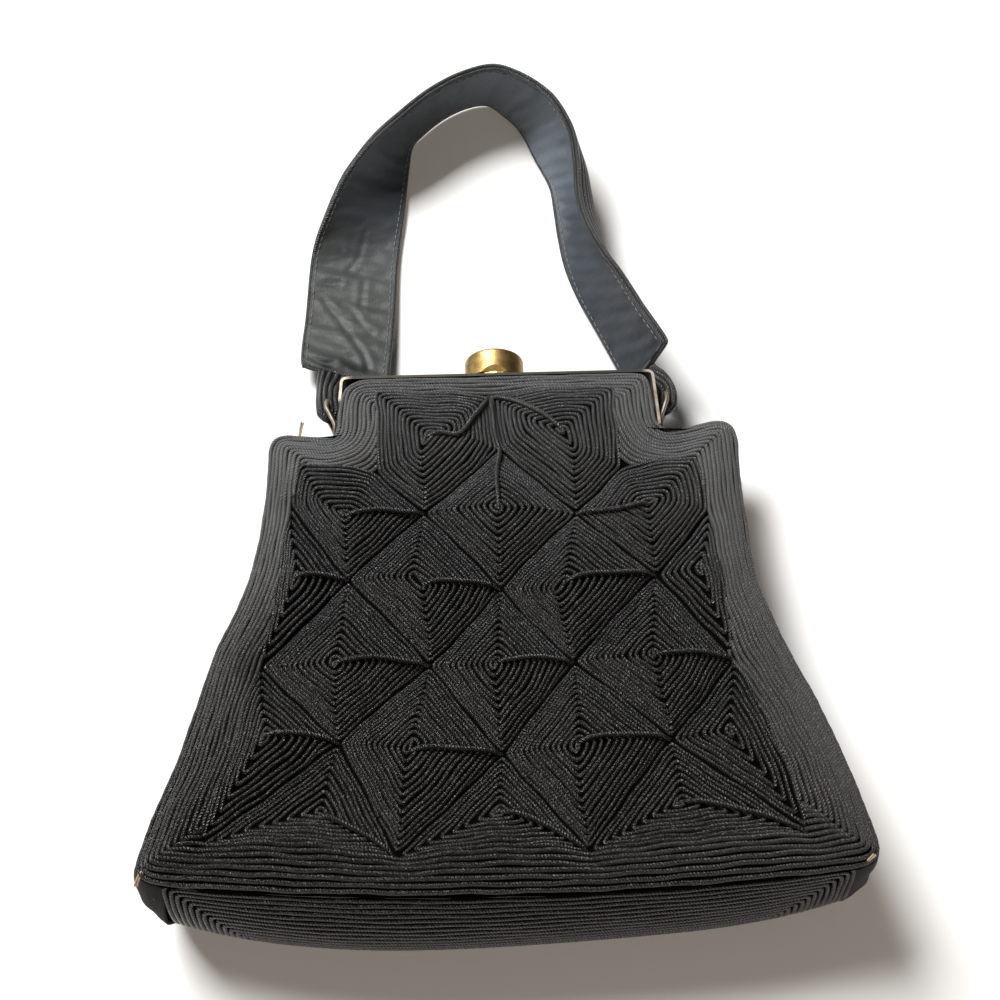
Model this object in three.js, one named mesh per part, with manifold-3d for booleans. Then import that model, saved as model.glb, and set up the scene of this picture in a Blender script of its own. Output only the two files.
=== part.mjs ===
// A corded frame handbag, lying on its padded back with its strap laid out above the frame.
// Millimetres. +Z is up from the surface it lies on, +Y runs from the base to the frame,
// and +X is to the right of someone who looks down on the front panel with the base nearest.
import * as THREE from "three";
import { mergeVertices } from "three/addons/utils/BufferGeometryUtils.js";
import Module from "manifold-3d";

// Driving dimensions of the bag
const BAG_HEIGHT = 217; // from the base seam to the top of the panels
const BASE_DEPTH = 57; // between the panels' seams at the base
const FRAME_DEPTH = 24; // between the panels' seams at the frame
const BACK_LIFT = 6; // how far the padded back stands out past its seams
const REST_UP = 86; // height of the back diamond that lies on the origin
const GAP = 0.3; // between pieces that touch

// The panels
const PANEL_WALL = 3.6; // at the foot of the padding
const FRONT_PUFF = 6;
const BACK_PUFF = 9; // before the surface presses it flat at BACK_LIFT
const PUFF_REACH = 21; // from a quilting seam to the crown of a diamond
const BORDER = 16; // width of the corded border
const TOP_BORDER = 8; // and of its stretch along the frame
const EDGE_ROLL = 2.2; // how far the border turns down at its edge
const EDGE_ROLL_WIDTH = 12;
const EDGE_ROLL_FADE = 24; // the roll is lost over this height below the shoulder
const FRONT_FACETS = { across: 36, along: 32 };
const BACK_FACETS = { across: 26, along: 24 };

// The panels' outline, its right half, from the middle of the base to the middle of the frame
const BASE_HALF = 132;
const BASE_BOW = 7; // the base corners are this much higher than its middle
const BASE_CORNER = { half: 120.5, up: 14 };
const SIDE = [
  { half: 126.3, up: 35.5 },
  { half: 120.8, up: 54 },
  { half: 109.6, up: 91 },
  { half: 100.6, up: 118 },
  { half: 97, up: 145 },
  { half: 96, up: 176 },
];
const SHOULDER = { half: 96, up: 190.5, round: 8 };
const NOTCH = { half: 65.8, up: 186.5, round: 4.5 };
const NECK_HALF = 64.2;
const NECK_ROUND = 1.4;

// Rows of the quilting lattice, from the frame down: height, and the nodes' places to either side
const LATTICE = [
  { up: 205, across: [0] },
  { up: 180.5, across: [0] },
  { up: 150.3, across: [28.5] },
  { up: 121, across: [0, 61] },
  { up: 86.5, across: [28, 89.5] },
  { up: 54, across: [0, 60] },
  { up: 17, across: [33, 107] },
];
const LATTICE_REACH = 50; // seams join the nodes of neighbouring rows that are nearer than this across
const SHOULDER_SEAMS = [
  { x0: 28.5, up0: 150.3, x1: 50, up1: 172 },
  { x0: 61, up0: 121, x1: 83, up1: 154 },
];

// The gussets and the base panel
const SEAM_INSET = 1; // how far they lie inside the panels' outline
const GUSSET_WALL = 1.4;
const GUSSET_FOLD = [
  { along: 0, fold: -9 },
  { along: 0.03, fold: -7.5 },
  { along: 0.09, fold: -3.5 },
  { along: 0.3, fold: 0 },
  { along: 0.6, fold: 6 },
  { along: 0.86, fold: 9 },
  { along: 1, fold: 3 },
];
const GUSSET_SECTIONS = 24;
const OUTLINE_STEPS = 300; // along half the outline
const NORMAL_REACH = 9; // steps to either side that a gusset's normal is smoothed over
const BASE_WALL = 2.6;
const BASE_CORD_HALF = 114; // the corded base ends here, and the gussets go on round the corner
const BASE_BULGE = 15;
const BASE_BULGE_LOSS = 0.75; // share of the bulge that is lost towards the corners
const BASE_SECTIONS = 12;
const SEAM_FACETS = 6; // across the depth of the gussets and the base

// The metal frame and its hinges
const STRIP = 1.2;
const STRIP_PROUD = 0.3; // past the panels' faces
const HINGE_UP = 192.5;
const EAR_RADIUS = 4.2;
const JOGGLE = 2; // height of the step from the back strip out to its ear
const HINGE_PIN = { radius: 1.5, head: 2.4, inner: 64.4 };
const EYE = { half: 72.6, radius: 3, thick: 2 };
const RUNNING = 0.4; // clearance round pins and wire

// The strap's rings and tabs
const WIRE_RADIUS = 0.95;
const RING_HALF_DEPTH = 7;
const RING_TOP = { half: 71.8, up: 213 };
const RING_POWER = 0.38; // below 1, the ring's oval is squarer
const TAB = { halfWidth: 5.2, halfDepth: 4.4, beyond: 8.4, slack: 0.7 };
const TAB_AT_STRAP = { halfWidth: 7, halfDepth: 1.6, column: 5 }; // column of the strap's facets
const TAB_BEND = { share: 0.55, outward: 1.5 }; // the tab bows out here on its way to the strap
const TAB_FLAT_FROM = 0.45;
const TAB_NOSE = { least: 0.12, growth: 6 };
const TAB_SECTIONS = 10;
const TAB_SIDES = 10;

// The strap, from its left end to its right end. x, y and z are its inner edge, heading and rise are the
// way from there to its outer edge in degrees, and curl is how far it turns over in between.
const STRAP_WIDTH = 39;
const LINING = 1;
const STRAP_CORD = 2;
const STRAP = [
  { x: -47.5, y: 139.5, z: 8.5, heading: 163, rise: 4, curl: 4 },
  { x: -45.1, y: 173, z: 4.5, heading: 180, rise: 4, curl: 2 },
  { x: -43.6, y: 206, z: 2.6, heading: 183, rise: 5, curl: 4 },
  { x: -40.9, y: 232, z: 2.6, heading: 198, rise: 25, curl: 10 },
  { x: -39, y: 254, z: 2.6, heading: 212, rise: 39, curl: 14 },
  { x: -37, y: 268, z: 2.6, heading: 230, rise: 54, curl: 10 },
  { x: -31.5, y: 275, z: 2.6, heading: 243, rise: 65, curl: 6 },
  { x: -21, y: 284, z: 2.6, heading: 251, rise: 70, curl: 4 },
  { x: -9.6, y: 289.5, z: 2.6, heading: 262, rise: 74, curl: 4 },
  { x: -1, y: 290, z: 2.6, heading: 290, rise: 77, curl: 6 },
  { x: 6.3, y: 284, z: 2.6, heading: 318, rise: 75, curl: 10 },
  { x: 13.6, y: 275.3, z: 2.6, heading: 330, rise: 69, curl: 20 },
  { x: 20.6, y: 258, z: 2.6, heading: 337, rise: 67, curl: 55 },
  { x: 26.6, y: 243, z: 2.6, heading: 326, rise: 70, curl: 100 },
  { x: 28, y: 231, z: 2.6, heading: 322, rise: 70, curl: 125 },
  { x: 29.3, y: 217, z: 2.6, heading: 321, rise: 68, curl: 125 },
  { x: 32, y: 200.6, z: 2.6, heading: 326, rise: 64, curl: 90 },
  { x: 37, y: 185.5, z: 2.6, heading: 332, rise: 62, curl: 40 },
  { x: 45, y: 168, z: 2.6, heading: 338, rise: 65, curl: 14 },
  { x: 58.5, y: 137.5, z: 3, heading: 20, rise: 71, curl: 4 },
];
const STRAP_SECTIONS = 36;
const STRAP_FACETS = 8;

// The clasp, on the middle of the frame
const PLATE = { radius: 12, split: 0.6, thick: 0.8 };
const CAP = { radius: 12.5, height: 11.5, edge: 1.4 };
const POCKET = { radius: 7.4, depth: -2, height: 7.5 };
const SLOT = { half: 6, back: -11.2, front: -5, height: 6.5 };
const BEVEL = { height: 3.6, reach: 4.4 }; // the thumb bevel at the cap's lower front
const UNDERCUT = 4; // height of the relief behind the pin
const CLASP_PIN = { radius: 0.8, half: 5.4, depth: -9, rise: 2.6 };
const KNUCKLE = { radius: 1.9, lugHalf: 2.6, earInner: 3, earOuter: 4.8 };
const STUD = { radius: 2, neck: 1.3, depth: 3, height: 5 };

const FINISH = {
  cord: { color: 0x1d1d1e, roughness: 0.78, metalness: 0 },
  cloth: { color: 0x17171a, roughness: 0.85, metalness: 0 },
  leather: { color: 0x2b3136, roughness: 0.55, metalness: 0 },
  brass: { color: 0xc09a45, roughness: 0.32, metalness: 1 },
  nickel: { color: 0xb9ab88, roughness: 0.38, metalness: 1 },
};

const wasm = await Module();
wasm.setup();

// The bag is drawn standing, as (x, up, depth towards the front), and laid on its back by this matrix.
const LEAN = Math.atan((BASE_DEPTH - FRAME_DEPTH) / 2 / BAG_HEIGHT);
const REST_DEPTH = -halfDepth(REST_UP) - BACK_LIFT / Math.cos(LEAN);
const LAID = new THREE.Matrix4()
  .makeTranslation(
    0,
    -REST_UP * Math.cos(LEAN) - REST_DEPTH * Math.sin(LEAN),
    BACK_LIFT + (BASE_DEPTH / 2) * Math.cos(LEAN),
  )
  .multiply(new THREE.Matrix4().makeRotationX(-LEAN));

const bag = new THREE.Group();
const laid = new THREE.Group();
laid.applyMatrix4(LAID);
bag.add(laid);

function halfDepth(up) {
  return BASE_DEPTH / 2 - up * Math.tan(LEAN);
}

// Common geometry

function place(name, geometry, finish, group = laid) {
  const mesh = new THREE.Mesh(geometry, new THREE.MeshStandardMaterial(FINISH[finish]));
  mesh.name = name;
  group.add(mesh);
}

function solidOf(geometry) {
  const bare = geometry.clone();
  bare.deleteAttribute("normal");
  bare.deleteAttribute("uv");
  const merged = mergeVertices(bare, 1e-4);
  const vertProperties = new Float32Array(merged.attributes.position.array);
  const triVerts = new Uint32Array(merged.index.array);
  return new wasm.Manifold(new wasm.Mesh({ numProp: 3, vertProperties, triVerts }));
}

function geometryOf(solid) {
  const mesh = solid.getMesh();
  const geometry = new THREE.BufferGeometry();
  geometry.setAttribute("position", new THREE.BufferAttribute(mesh.vertProperties, 3));
  geometry.setIndex(new THREE.BufferAttribute(mesh.triVerts, 1));
  return geometry;
}

// A closed mesh from points and triangles, turned so that its faces point out
function closedMesh(points, triangles) {
  let volume = 0;
  for (const [a, b, c] of triangles) {
    volume += points[a].dot(new THREE.Vector3().crossVectors(points[b], points[c]));
  }
  const facing = volume < 0 ? triangles.map(([a, b, c]) => [a, c, b]) : triangles;
  const geometry = new THREE.BufferGeometry().setFromPoints(points);
  geometry.setIndex(facing.flat());
  return geometry;
}

// A wall from sections that each hold as many points on its outer face as on its inner one
function wall(sections) {
  const across = sections[0].outer.length;
  const points = sections.flatMap(({ outer, inner }) => [...outer, ...inner]);
  const triangles = [];
  const at = (row, side, column) => (row * 2 + side) * across + column;
  const quad = (a, b, c, d) => triangles.push([a, b, c], [a, c, d]);
  const last = sections.length - 1;
  const edge = across - 1;
  for (let row = 0; row < last; row++) {
    for (let column = 0; column < edge; column++) {
      quad(at(row, 0, column), at(row, 0, column + 1), at(row + 1, 0, column + 1), at(row + 1, 0, column));
      quad(at(row, 1, column), at(row + 1, 1, column), at(row + 1, 1, column + 1), at(row, 1, column + 1));
    }
    quad(at(row, 0, 0), at(row + 1, 0, 0), at(row + 1, 1, 0), at(row, 1, 0));
    quad(at(row, 0, edge), at(row, 1, edge), at(row + 1, 1, edge), at(row + 1, 0, edge));
  }
  for (let column = 0; column < edge; column++) {
    quad(at(0, 0, column), at(0, 1, column), at(0, 1, column + 1), at(0, 0, column + 1));
    quad(at(last, 0, column), at(last, 0, column + 1), at(last, 1, column + 1), at(last, 1, column));
  }
  return closedMesh(points, triangles);
}

// A solid through rings of points, with a point at the middle of each end
function loft(rings) {
  const around = rings[0].length;
  const points = rings.flat();
  const triangles = [];
  for (let row = 0; row + 1 < rings.length; row++) {
    for (let i = 0; i < around; i++) {
      const a = row * around + i;
      const b = row * around + ((i + 1) % around);
      triangles.push([a, b, b + around], [a, b + around, a + around]);
    }
  }
  for (const [ring, turn] of [[0, 1], [rings.length - 1, -1]]) {
    const middle = rings[ring].reduce((sum, p) => sum.add(p), new THREE.Vector3()).divideScalar(around);
    points.push(middle);
    for (let i = 0; i < around; i++) {
      const a = ring * around + i;
      const b = ring * around + ((i + 1) % around);
      triangles.push(turn > 0 ? [points.length - 1, b, a] : [points.length - 1, a, b]);
    }
  }
  return closedMesh(points, triangles);
}

// A value from a table, read between its rows
function between(rows, at, key, value) {
  const next = Math.max(1, rows.findIndex((row) => row[key] >= at));
  const [a, b] = [rows[next - 1], rows[next]];
  return THREE.MathUtils.mapLinear(at, a[key], b[key], a[value], b[value]);
}

function box(x0, x1, up0, up1, depth0, depth1) {
  const geometry = new THREE.BoxGeometry(x1 - x0, up1 - up0, depth1 - depth0);
  return geometry.translate((x0 + x1) / 2, (up0 + up1) / 2, (depth0 + depth1) / 2);
}

// A cylinder along x, up or depth
function rod(axis, radius, from, to, [a, b], sides = 14) {
  const geometry = new THREE.CylinderGeometry(radius, radius, to - from, sides);
  const middle = (from + to) / 2;
  if (axis === "x") return geometry.rotateZ(-Math.PI / 2).translate(middle, a, b);
  if (axis === "depth") return geometry.rotateX(Math.PI / 2).translate(a, b, middle);
  return geometry.translate(a, middle, b);
}

// The outline and the quilting

function baseEdge(x) {
  return BASE_BOW * (x / BASE_HALF) ** 2;
}

function neckEdge(up) {
  return THREE.MathUtils.mapLinear(up, NOTCH.up, BAG_HEIGHT, NOTCH.half, NECK_HALF);
}

function rightOutline() {
  const path = new THREE.Path();
  path.moveTo(0, 0);
  path.quadraticCurveTo(BASE_CORNER.half / 2, 0, BASE_CORNER.half, baseEdge(BASE_CORNER.half));
  path.quadraticCurveTo(BASE_HALF, baseEdge(BASE_HALF), BASE_HALF, BASE_CORNER.up);
  path.splineThru(SIDE.map(({ half, up }) => new THREE.Vector2(half, up)));
  path.lineTo(SHOULDER.half, SHOULDER.up - SHOULDER.round);
  path.quadraticCurveTo(SHOULDER.half, SHOULDER.up, SHOULDER.half - SHOULDER.round, SHOULDER.up);
  path.lineTo(NOTCH.half + NOTCH.round, NOTCH.up + NOTCH.round / 5);
  path.quadraticCurveTo(NOTCH.half, NOTCH.up, neckEdge(NOTCH.up + NOTCH.round), NOTCH.up + NOTCH.round);
  path.lineTo(neckEdge(BAG_HEIGHT - NECK_ROUND), BAG_HEIGHT - NECK_ROUND);
  path.quadraticCurveTo(NECK_HALF, BAG_HEIGHT, NECK_HALF - NECK_ROUND, BAG_HEIGHT);
  path.lineTo(0, BAG_HEIGHT);
  return path;
}

const rightHalf = rightOutline().getPoints(4);
const leftHalf = rightHalf.slice(1, -1).map((p) => new THREE.Vector2(-p.x, p.y)).reverse();
const outline = [...rightHalf, ...leftHalf];

function segmentDistance(x, up, a, b) {
  const p = new THREE.Vector2(x, up).sub(a);
  const run = b.clone().sub(a);
  const share = THREE.MathUtils.clamp(p.dot(run) / run.lengthSq(), 0, 1);
  return p.distanceTo(run.multiplyScalar(share));
}

function isInside(x, up) {
  let inside = false;
  outline.forEach((a, i) => {
    const b = outline[(i + 1) % outline.length];
    if (a.y > up !== b.y > up && x < a.x + ((up - a.y) / (b.y - a.y)) * (b.x - a.x)) inside = !inside;
  });
  return inside;
}

// How far a point lies inside the outline, apart from its edge along the frame
function insetOf(x, up) {
  if (!isInside(x, up)) return 0;
  let nearest = Infinity;
  outline.forEach((a, i) => {
    const b = outline[(i + 1) % outline.length];
    if (a.y < BAG_HEIGHT || b.y < BAG_HEIGHT) nearest = Math.min(nearest, segmentDistance(x, up, a, b));
  });
  return nearest;
}

function quiltSeams() {
  const bothSides = (row) => row.across.flatMap((x) => (x ? [x, -x] : [x]));
  const seams = [];
  LATTICE.slice(1).forEach((lower, i) => {
    const upper = LATTICE[i];
    for (const x0 of bothSides(upper)) {
      for (const x1 of bothSides(lower)) {
        if (Math.abs(x1 - x0) < LATTICE_REACH) seams.push({ x0, up0: upper.up, x1, up1: lower.up });
      }
    }
  });
  for (const seam of SHOULDER_SEAMS) seams.push(seam, { ...seam, x0: -seam.x0, x1: -seam.x1 });
  return seams.map(({ x0, up0, x1, up1 }) => [new THREE.Vector2(x0, up0), new THREE.Vector2(x1, up1)]);
}

const seams = quiltSeams();

function puff(x, up) {
  const toSeam = Math.min(...seams.map(([a, b]) => segmentDistance(x, up, a, b)));
  const rise = Math.min(toSeam, insetOf(x, up) - BORDER, BAG_HEIGHT - up - TOP_BORDER);
  const share = THREE.MathUtils.clamp(rise / PUFF_REACH, 0, 1);
  return 1 - (1 - share) ** 2;
}

function rollAt(inset, up) {
  const share = THREE.MathUtils.clamp(1 - inset / EDGE_ROLL_WIDTH, 0, 1);
  const fade = THREE.MathUtils.clamp((SHOULDER.up - up) / EDGE_ROLL_FADE, 0, 1);
  return EDGE_ROLL * fade * share ** 2;
}

// The soft walls

// A padded panel: sections across it with a flat inner face, cut to the outline
function panel(side, facets, rise) {
  const margin = 4;
  const edge = BASE_HALF + margin;
  const sections = [];
  for (let j = 0; j <= facets.along; j++) {
    const up = THREE.MathUtils.lerp(-margin, BAG_HEIGHT + margin, j / facets.along);
    const section = [];
    for (let i = 0; i <= facets.across; i++) {
      const x = THREE.MathUtils.lerp(-edge, edge, i / facets.across);
      const seat = halfDepth(up) - rollAt(insetOf(x, up), up);
      section.push(new THREE.Vector3(x, up, side * (seat + rise(x, up))));
    }
    const inner = side * (halfDepth(up) - PANEL_WALL);
    section.push(new THREE.Vector3(edge, up, inner), new THREE.Vector3(-edge, up, inner));
    sections.push(section);
  }
  const settings = { depth: 2 * BASE_DEPTH, bevelEnabled: false };
  const prism = new THREE.ExtrudeGeometry(new THREE.Shape(outline), settings);
  prism.translate(0, 0, -BASE_DEPTH);
  return geometryOf(solidOf(loft(sections)).intersect(solidOf(prism)));
}

place("front_panel", panel(1, FRONT_FACETS, (x, up) => FRONT_PUFF * puff(x, up)), "cord");
const pressed = BACK_LIFT / Math.cos(LEAN);
place("back_panel", panel(-1, BACK_FACETS, (x, up) => Math.min(pressed, BACK_PUFF * puff(x, up))), "cord");

// Half the depth between the panels
function rimDepth(up) {
  return halfDepth(up) - PANEL_WALL - GAP;
}

function seamColumns() {
  return Array.from({ length: SEAM_FACETS + 1 }, (_, i) => (2 * i) / SEAM_FACETS - 1);
}

function basePanel() {
  const sections = [];
  for (let i = 0; i <= BASE_SECTIONS; i++) {
    const x = THREE.MathUtils.lerp(-BASE_CORD_HALF, BASE_CORD_HALF, i / BASE_SECTIONS);
    const bulge = BASE_BULGE * (1 - BASE_BULGE_LOSS * (x / BASE_HALF) ** 4);
    const seam = baseEdge(x) + SEAM_INSET;
    const lowest = (v) => seam - bulge * (1 - v * v);
    const outer = seamColumns().map((v) => new THREE.Vector3(x, lowest(v), v * rimDepth(seam)));
    const inner = seamColumns().map((v) => new THREE.Vector3(x, lowest(v) + BASE_WALL, v * rimDepth(seam)));
    sections.push({ outer, inner });
  }
  return wall(sections);
}

place("base_panel", basePanel(), "cord");

// The gusset's way along the outline, from the end of the base cords to the notch, with smoothed normals
function gussetWay() {
  const spaced = rightOutline().getSpacedPoints(OUTLINE_STEPS);
  const start = spaced.findIndex((p) => p.x >= BASE_CORD_HALF + GAP);
  const end = spaced.findIndex((p) => p.y > BAG_HEIGHT / 2 && p.x < NOTCH.half + NOTCH.round);
  const way = [];
  for (let i = 0; i <= GUSSET_SECTIONS; i++) {
    const share = i / GUSSET_SECTIONS;
    const k = Math.round(THREE.MathUtils.lerp(start, end, share));
    const before = spaced[Math.max(k - NORMAL_REACH, start)];
    const run = spaced[Math.min(k + NORMAL_REACH, end)].clone().sub(before).normalize();
    way.push({ share, point: spaced[k], inward: new THREE.Vector2(-run.y, run.x) });
  }
  return way;
}

function gusset(side) {
  const sections = gussetWay().map(({ share, point, inward }) => {
    const fold = between(GUSSET_FOLD, share, "along", "fold");
    const pointAt = (v, deeper) => {
      const reach = SEAM_INSET + fold * (1 - v * v) + deeper;
      return new THREE.Vector3(
        side * (point.x + inward.x * reach),
        point.y + inward.y * reach,
        v * rimDepth(point.y),
      );
    };
    const outer = seamColumns().map((v) => pointAt(v, 0));
    const inner = seamColumns().map((v) => pointAt(v, GUSSET_WALL));
    return { outer, inner };
  });
  return wall(sections);
}

place("gusset_left", gusset(-1), "cloth");
place("gusset_right", gusset(1), "cloth");

// The metal frame

const FRAME_TOP = BAG_HEIGHT + GAP + STRIP;

// A strip round the neck, from the given height on the left to the same on the right
function neckStrip(lowest, depth0, depth1) {
  const inner = (up) => neckEdge(up) + GAP;
  const outer = (up) => inner(up) + STRIP;
  const bend = NECK_ROUND + GAP;
  const under = BAG_HEIGHT + GAP;
  const shape = new THREE.Shape();
  shape.moveTo(outer(lowest), lowest);
  shape.lineTo(outer(FRAME_TOP - bend), FRAME_TOP - bend - STRIP);
  shape.quadraticCurveTo(outer(FRAME_TOP), FRAME_TOP, NECK_HALF - bend, FRAME_TOP);
  shape.lineTo(bend - NECK_HALF, FRAME_TOP);
  shape.quadraticCurveTo(-outer(FRAME_TOP), FRAME_TOP, -outer(FRAME_TOP - bend), FRAME_TOP - bend - STRIP);
  shape.lineTo(-outer(lowest), lowest);
  shape.lineTo(-inner(lowest), lowest);
  shape.lineTo(-inner(under - bend), under - bend);
  shape.quadraticCurveTo(-inner(under), under, bend - NECK_HALF, under);
  shape.lineTo(NECK_HALF - bend, under);
  shape.quadraticCurveTo(inner(under), under, inner(under - bend), under - bend);
  shape.lineTo(inner(lowest), lowest);
  const settings = { depth: depth1 - depth0, bevelEnabled: false, curveSegments: 4 };
  return new THREE.ExtrudeGeometry(shape, settings).translate(0, 0, depth0);
}

const stripFace = FRAME_DEPTH / 2 + STRIP_PROUD;
const earInner = neckEdge(HINGE_UP) + GAP;
const earOuter = earInner + STRIP;

function mirrored(x0, x1, side) {
  return side > 0 ? [x0, x1] : [-x1, -x0];
}

function frameFront() {
  let half = solidOf(neckStrip(HINGE_UP, GAP / 2, stripFace));
  for (const side of [-1, 1]) {
    const [x0, x1] = mirrored(earInner, earOuter, side);
    half = half.add(solidOf(rod("x", EAR_RADIUS, x0, x1, [HINGE_UP, 0], 18)));
    const [hole0, hole1] = mirrored(earInner - 1, earOuter + 1, side);
    half = half.subtract(solidOf(rod("x", HINGE_PIN.radius + GAP, hole0, hole1, [HINGE_UP, 0])));
  }
  return geometryOf(half);
}

// The back half's ears lie outside the front half's, past a step in its strip
function frameBack() {
  const lowest = HINGE_UP + EAR_RADIUS + GAP;
  let half = solidOf(neckStrip(lowest, -stripFace, -GAP / 2));
  for (const side of [-1, 1]) {
    const [step0, step1] = mirrored(earInner - GAP, earOuter + GAP + STRIP, side);
    const [x0, x1] = mirrored(earOuter + GAP, earOuter + GAP + STRIP, side);
    const [hole0, hole1] = mirrored(earOuter, earOuter + 2 * STRIP, side);
    half = half
      .add(solidOf(box(step0, step1, lowest, lowest + JOGGLE, -EAR_RADIUS - GAP, -GAP / 2)))
      .add(solidOf(box(x0, x1, HINGE_UP, lowest + JOGGLE, -EAR_RADIUS, 0)))
      .add(solidOf(rod("x", EAR_RADIUS, x0, x1, [HINGE_UP, 0], 18)))
      .subtract(solidOf(rod("x", HINGE_PIN.radius + GAP, hole0, hole1, [HINGE_UP, 0])));
  }
  return geometryOf(half);
}

place("frame_front", frameFront(), "nickel");
place("frame_back", frameBack(), "nickel");

function hingePin(side) {
  const [head0, head1] = mirrored(HINGE_PIN.inner, earInner - GAP, side);
  const [x0, x1] = mirrored(HINGE_PIN.inner, EYE.half - EYE.radius / 2, side);
  const eyeDepth = EYE.thick / 2;
  const eyePlace = [side * EYE.half, HINGE_UP];
  const pin = solidOf(rod("x", HINGE_PIN.radius, x0, x1, [HINGE_UP, 0]))
    .add(solidOf(rod("x", HINGE_PIN.head, head0, head1, [HINGE_UP, 0])))
    .add(solidOf(rod("depth", EYE.radius, -eyeDepth, eyeDepth, eyePlace)))
    .subtract(solidOf(rod("depth", WIRE_RADIUS + RUNNING, -EYE.radius, EYE.radius, eyePlace)));
  return geometryOf(pin);
}

// A wire ring from the hinge's eye to the strap's tab, a long oval with square shoulders
function ring(side) {
  const points = [];
  const corners = 20;
  const square = (value) => Math.sign(value) * Math.abs(value) ** RING_POWER;
  for (let i = 0; i < corners; i++) {
    const turn = (2 * Math.PI * i) / corners;
    const share = (1 + square(Math.sin(turn))) / 2;
    const x = THREE.MathUtils.lerp(EYE.half, RING_TOP.half, share);
    const up = THREE.MathUtils.lerp(HINGE_UP, RING_TOP.up, share);
    points.push(new THREE.Vector3(side * x, up, RING_HALF_DEPTH * square(Math.cos(turn))));
  }
  const way = new THREE.CatmullRomCurve3(points, true);
  const wire = new THREE.TubeGeometry(way, 32, WIRE_RADIUS, 7, true);
  return mergeVertices(wire.deleteAttribute("normal").deleteAttribute("uv"));
}

for (const [name, side] of [["left", -1], ["right", 1]]) {
  place(`hinge_pin_${name}`, hingePin(side), "nickel");
  place(`ring_${name}`, ring(side), "brass");
}

// The strap

function strapCurve(pointOf) {
  return new THREE.CatmullRomCurve3(STRAP.map(pointOf), false, "centripetal");
}

const strapWay = strapCurve(({ x, y, z }) => new THREE.Vector3(x, y, z));
const strapCurls = strapCurve(({ curl }) => new THREE.Vector3(THREE.MathUtils.degToRad(curl), 0, 0));
const strapReach = strapCurve(({ heading, rise }) => {
  const [turn, climb] = [heading, rise].map(THREE.MathUtils.degToRad);
  const level = Math.cos(climb);
  return new THREE.Vector3(level * Math.cos(turn), level * Math.sin(turn), Math.sin(climb));
});

// One section of the strap: points across it, each with the direction that its lining faces
function strapSection(share) {
  const reach = strapReach.getPoint(share).normalize();
  const facing = strapWay.getTangent(share).cross(reach).normalize();
  const curl = strapCurls.getPoint(share).x;
  const step = STRAP_WIDTH / STRAP_FACETS;
  const slopeAt = (column) => curl * (column / STRAP_FACETS - 0.5);
  const mixed = (a, b, slope) =>
    a.clone().multiplyScalar(Math.cos(slope)).addScaledVector(b, Math.sin(slope));
  const points = [];
  const spot = strapWay.getPoint(share);
  for (let column = 0; column <= STRAP_FACETS; column++) {
    points.push({ spot: spot.clone(), facing: mixed(facing, reach, -slopeAt(column)) });
    spot.addScaledVector(mixed(reach, facing, slopeAt(column + 0.5)), step);
  }
  return points;
}

function strapLayer(low, high) {
  const sections = [];
  for (let i = 0; i <= STRAP_SECTIONS; i++) {
    const points = strapSection(i / STRAP_SECTIONS);
    const lifted = (by) => points.map(({ spot, facing }) => spot.clone().addScaledVector(facing, by));
    sections.push({ outer: lifted(high), inner: lifted(low) });
  }
  return wall(sections);
}

place("strap_lining", strapLayer(0, LINING), "leather", bag);
place("strap_face", strapLayer(-GAP - STRAP_CORD, -GAP), "cord", bag);

// A corded tab, from a round end past the ring's bar to a flat end at the strap
function strapTab(side) {
  const bar = new THREE.Vector3(side * RING_TOP.half, RING_TOP.up, 0).applyMatrix4(LAID);
  const share = side < 0 ? 0 : 1;
  const end = strapSection(share);
  const seat = end[TAB_AT_STRAP.column];
  const [inner, outer] = [end[TAB_AT_STRAP.column - 1], end[TAB_AT_STRAP.column + 1]];
  const endAcross = outer.spot.clone().sub(inner.spot).normalize();
  const endAlong = strapWay.getTangent(share).setZ(0).normalize().multiplyScalar(-side);
  const strapEnd = seat.spot.clone().addScaledVector(seat.facing, -GAP / 2).addScaledVector(endAlong, -GAP);
  const way = new THREE.CatmullRomCurve3([
    bar.clone().add(new THREE.Vector3(-side, -TAB.beyond, 0)),
    bar,
    bar.clone().lerp(strapEnd, TAB_BEND.share).add(new THREE.Vector3(side * TAB_BEND.outward, 0, 0)),
    strapEnd,
  ]);
  const rings = [];
  for (let i = 0; i <= TAB_SECTIONS; i++) {
    const at = i / TAB_SECTIONS;
    const along = way.getTangent(at);
    const level = new THREE.Vector3(0, 0, 1).cross(along).normalize();
    const flat = THREE.MathUtils.smoothstep(at, TAB_FLAT_FROM, 1);
    const tilt = level.dot(endAcross) < 0 ? endAcross.clone().negate() : endAcross;
    const facing = new THREE.Vector3().crossVectors(along, level).lerp(seat.facing, flat).normalize();
    const across = level.lerp(tilt, flat).normalize();
    const round = Math.sqrt(Math.min(1, TAB_NOSE.least + at * TAB_NOSE.growth));
    const width = round * THREE.MathUtils.lerp(TAB.halfWidth, TAB_AT_STRAP.halfWidth, flat);
    const depth = round * THREE.MathUtils.lerp(TAB.halfDepth, TAB_AT_STRAP.halfDepth, flat);
    const ringPoints = [];
    for (let k = 0; k < TAB_SIDES; k++) {
      const turn = (2 * Math.PI * k) / TAB_SIDES;
      const p = way.getPoint(at).addScaledVector(across, width * Math.cos(turn));
      ringPoints.push(p.addScaledVector(facing, depth * Math.sin(turn)));
    }
    rings.push(ringPoints);
  }
  const barPlace = [side * RING_TOP.half, RING_TOP.up];
  const hole = rod("depth", WIRE_RADIUS + TAB.slack, -BASE_DEPTH, BASE_DEPTH, barPlace, 12);
  return geometryOf(solidOf(loft(rings)).subtract(solidOf(hole.applyMatrix4(LAID))));
}

place("strap_tab_left", strapTab(-1), "cord", bag);
place("strap_tab_right", strapTab(1), "cord", bag);

// The clasp

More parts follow.
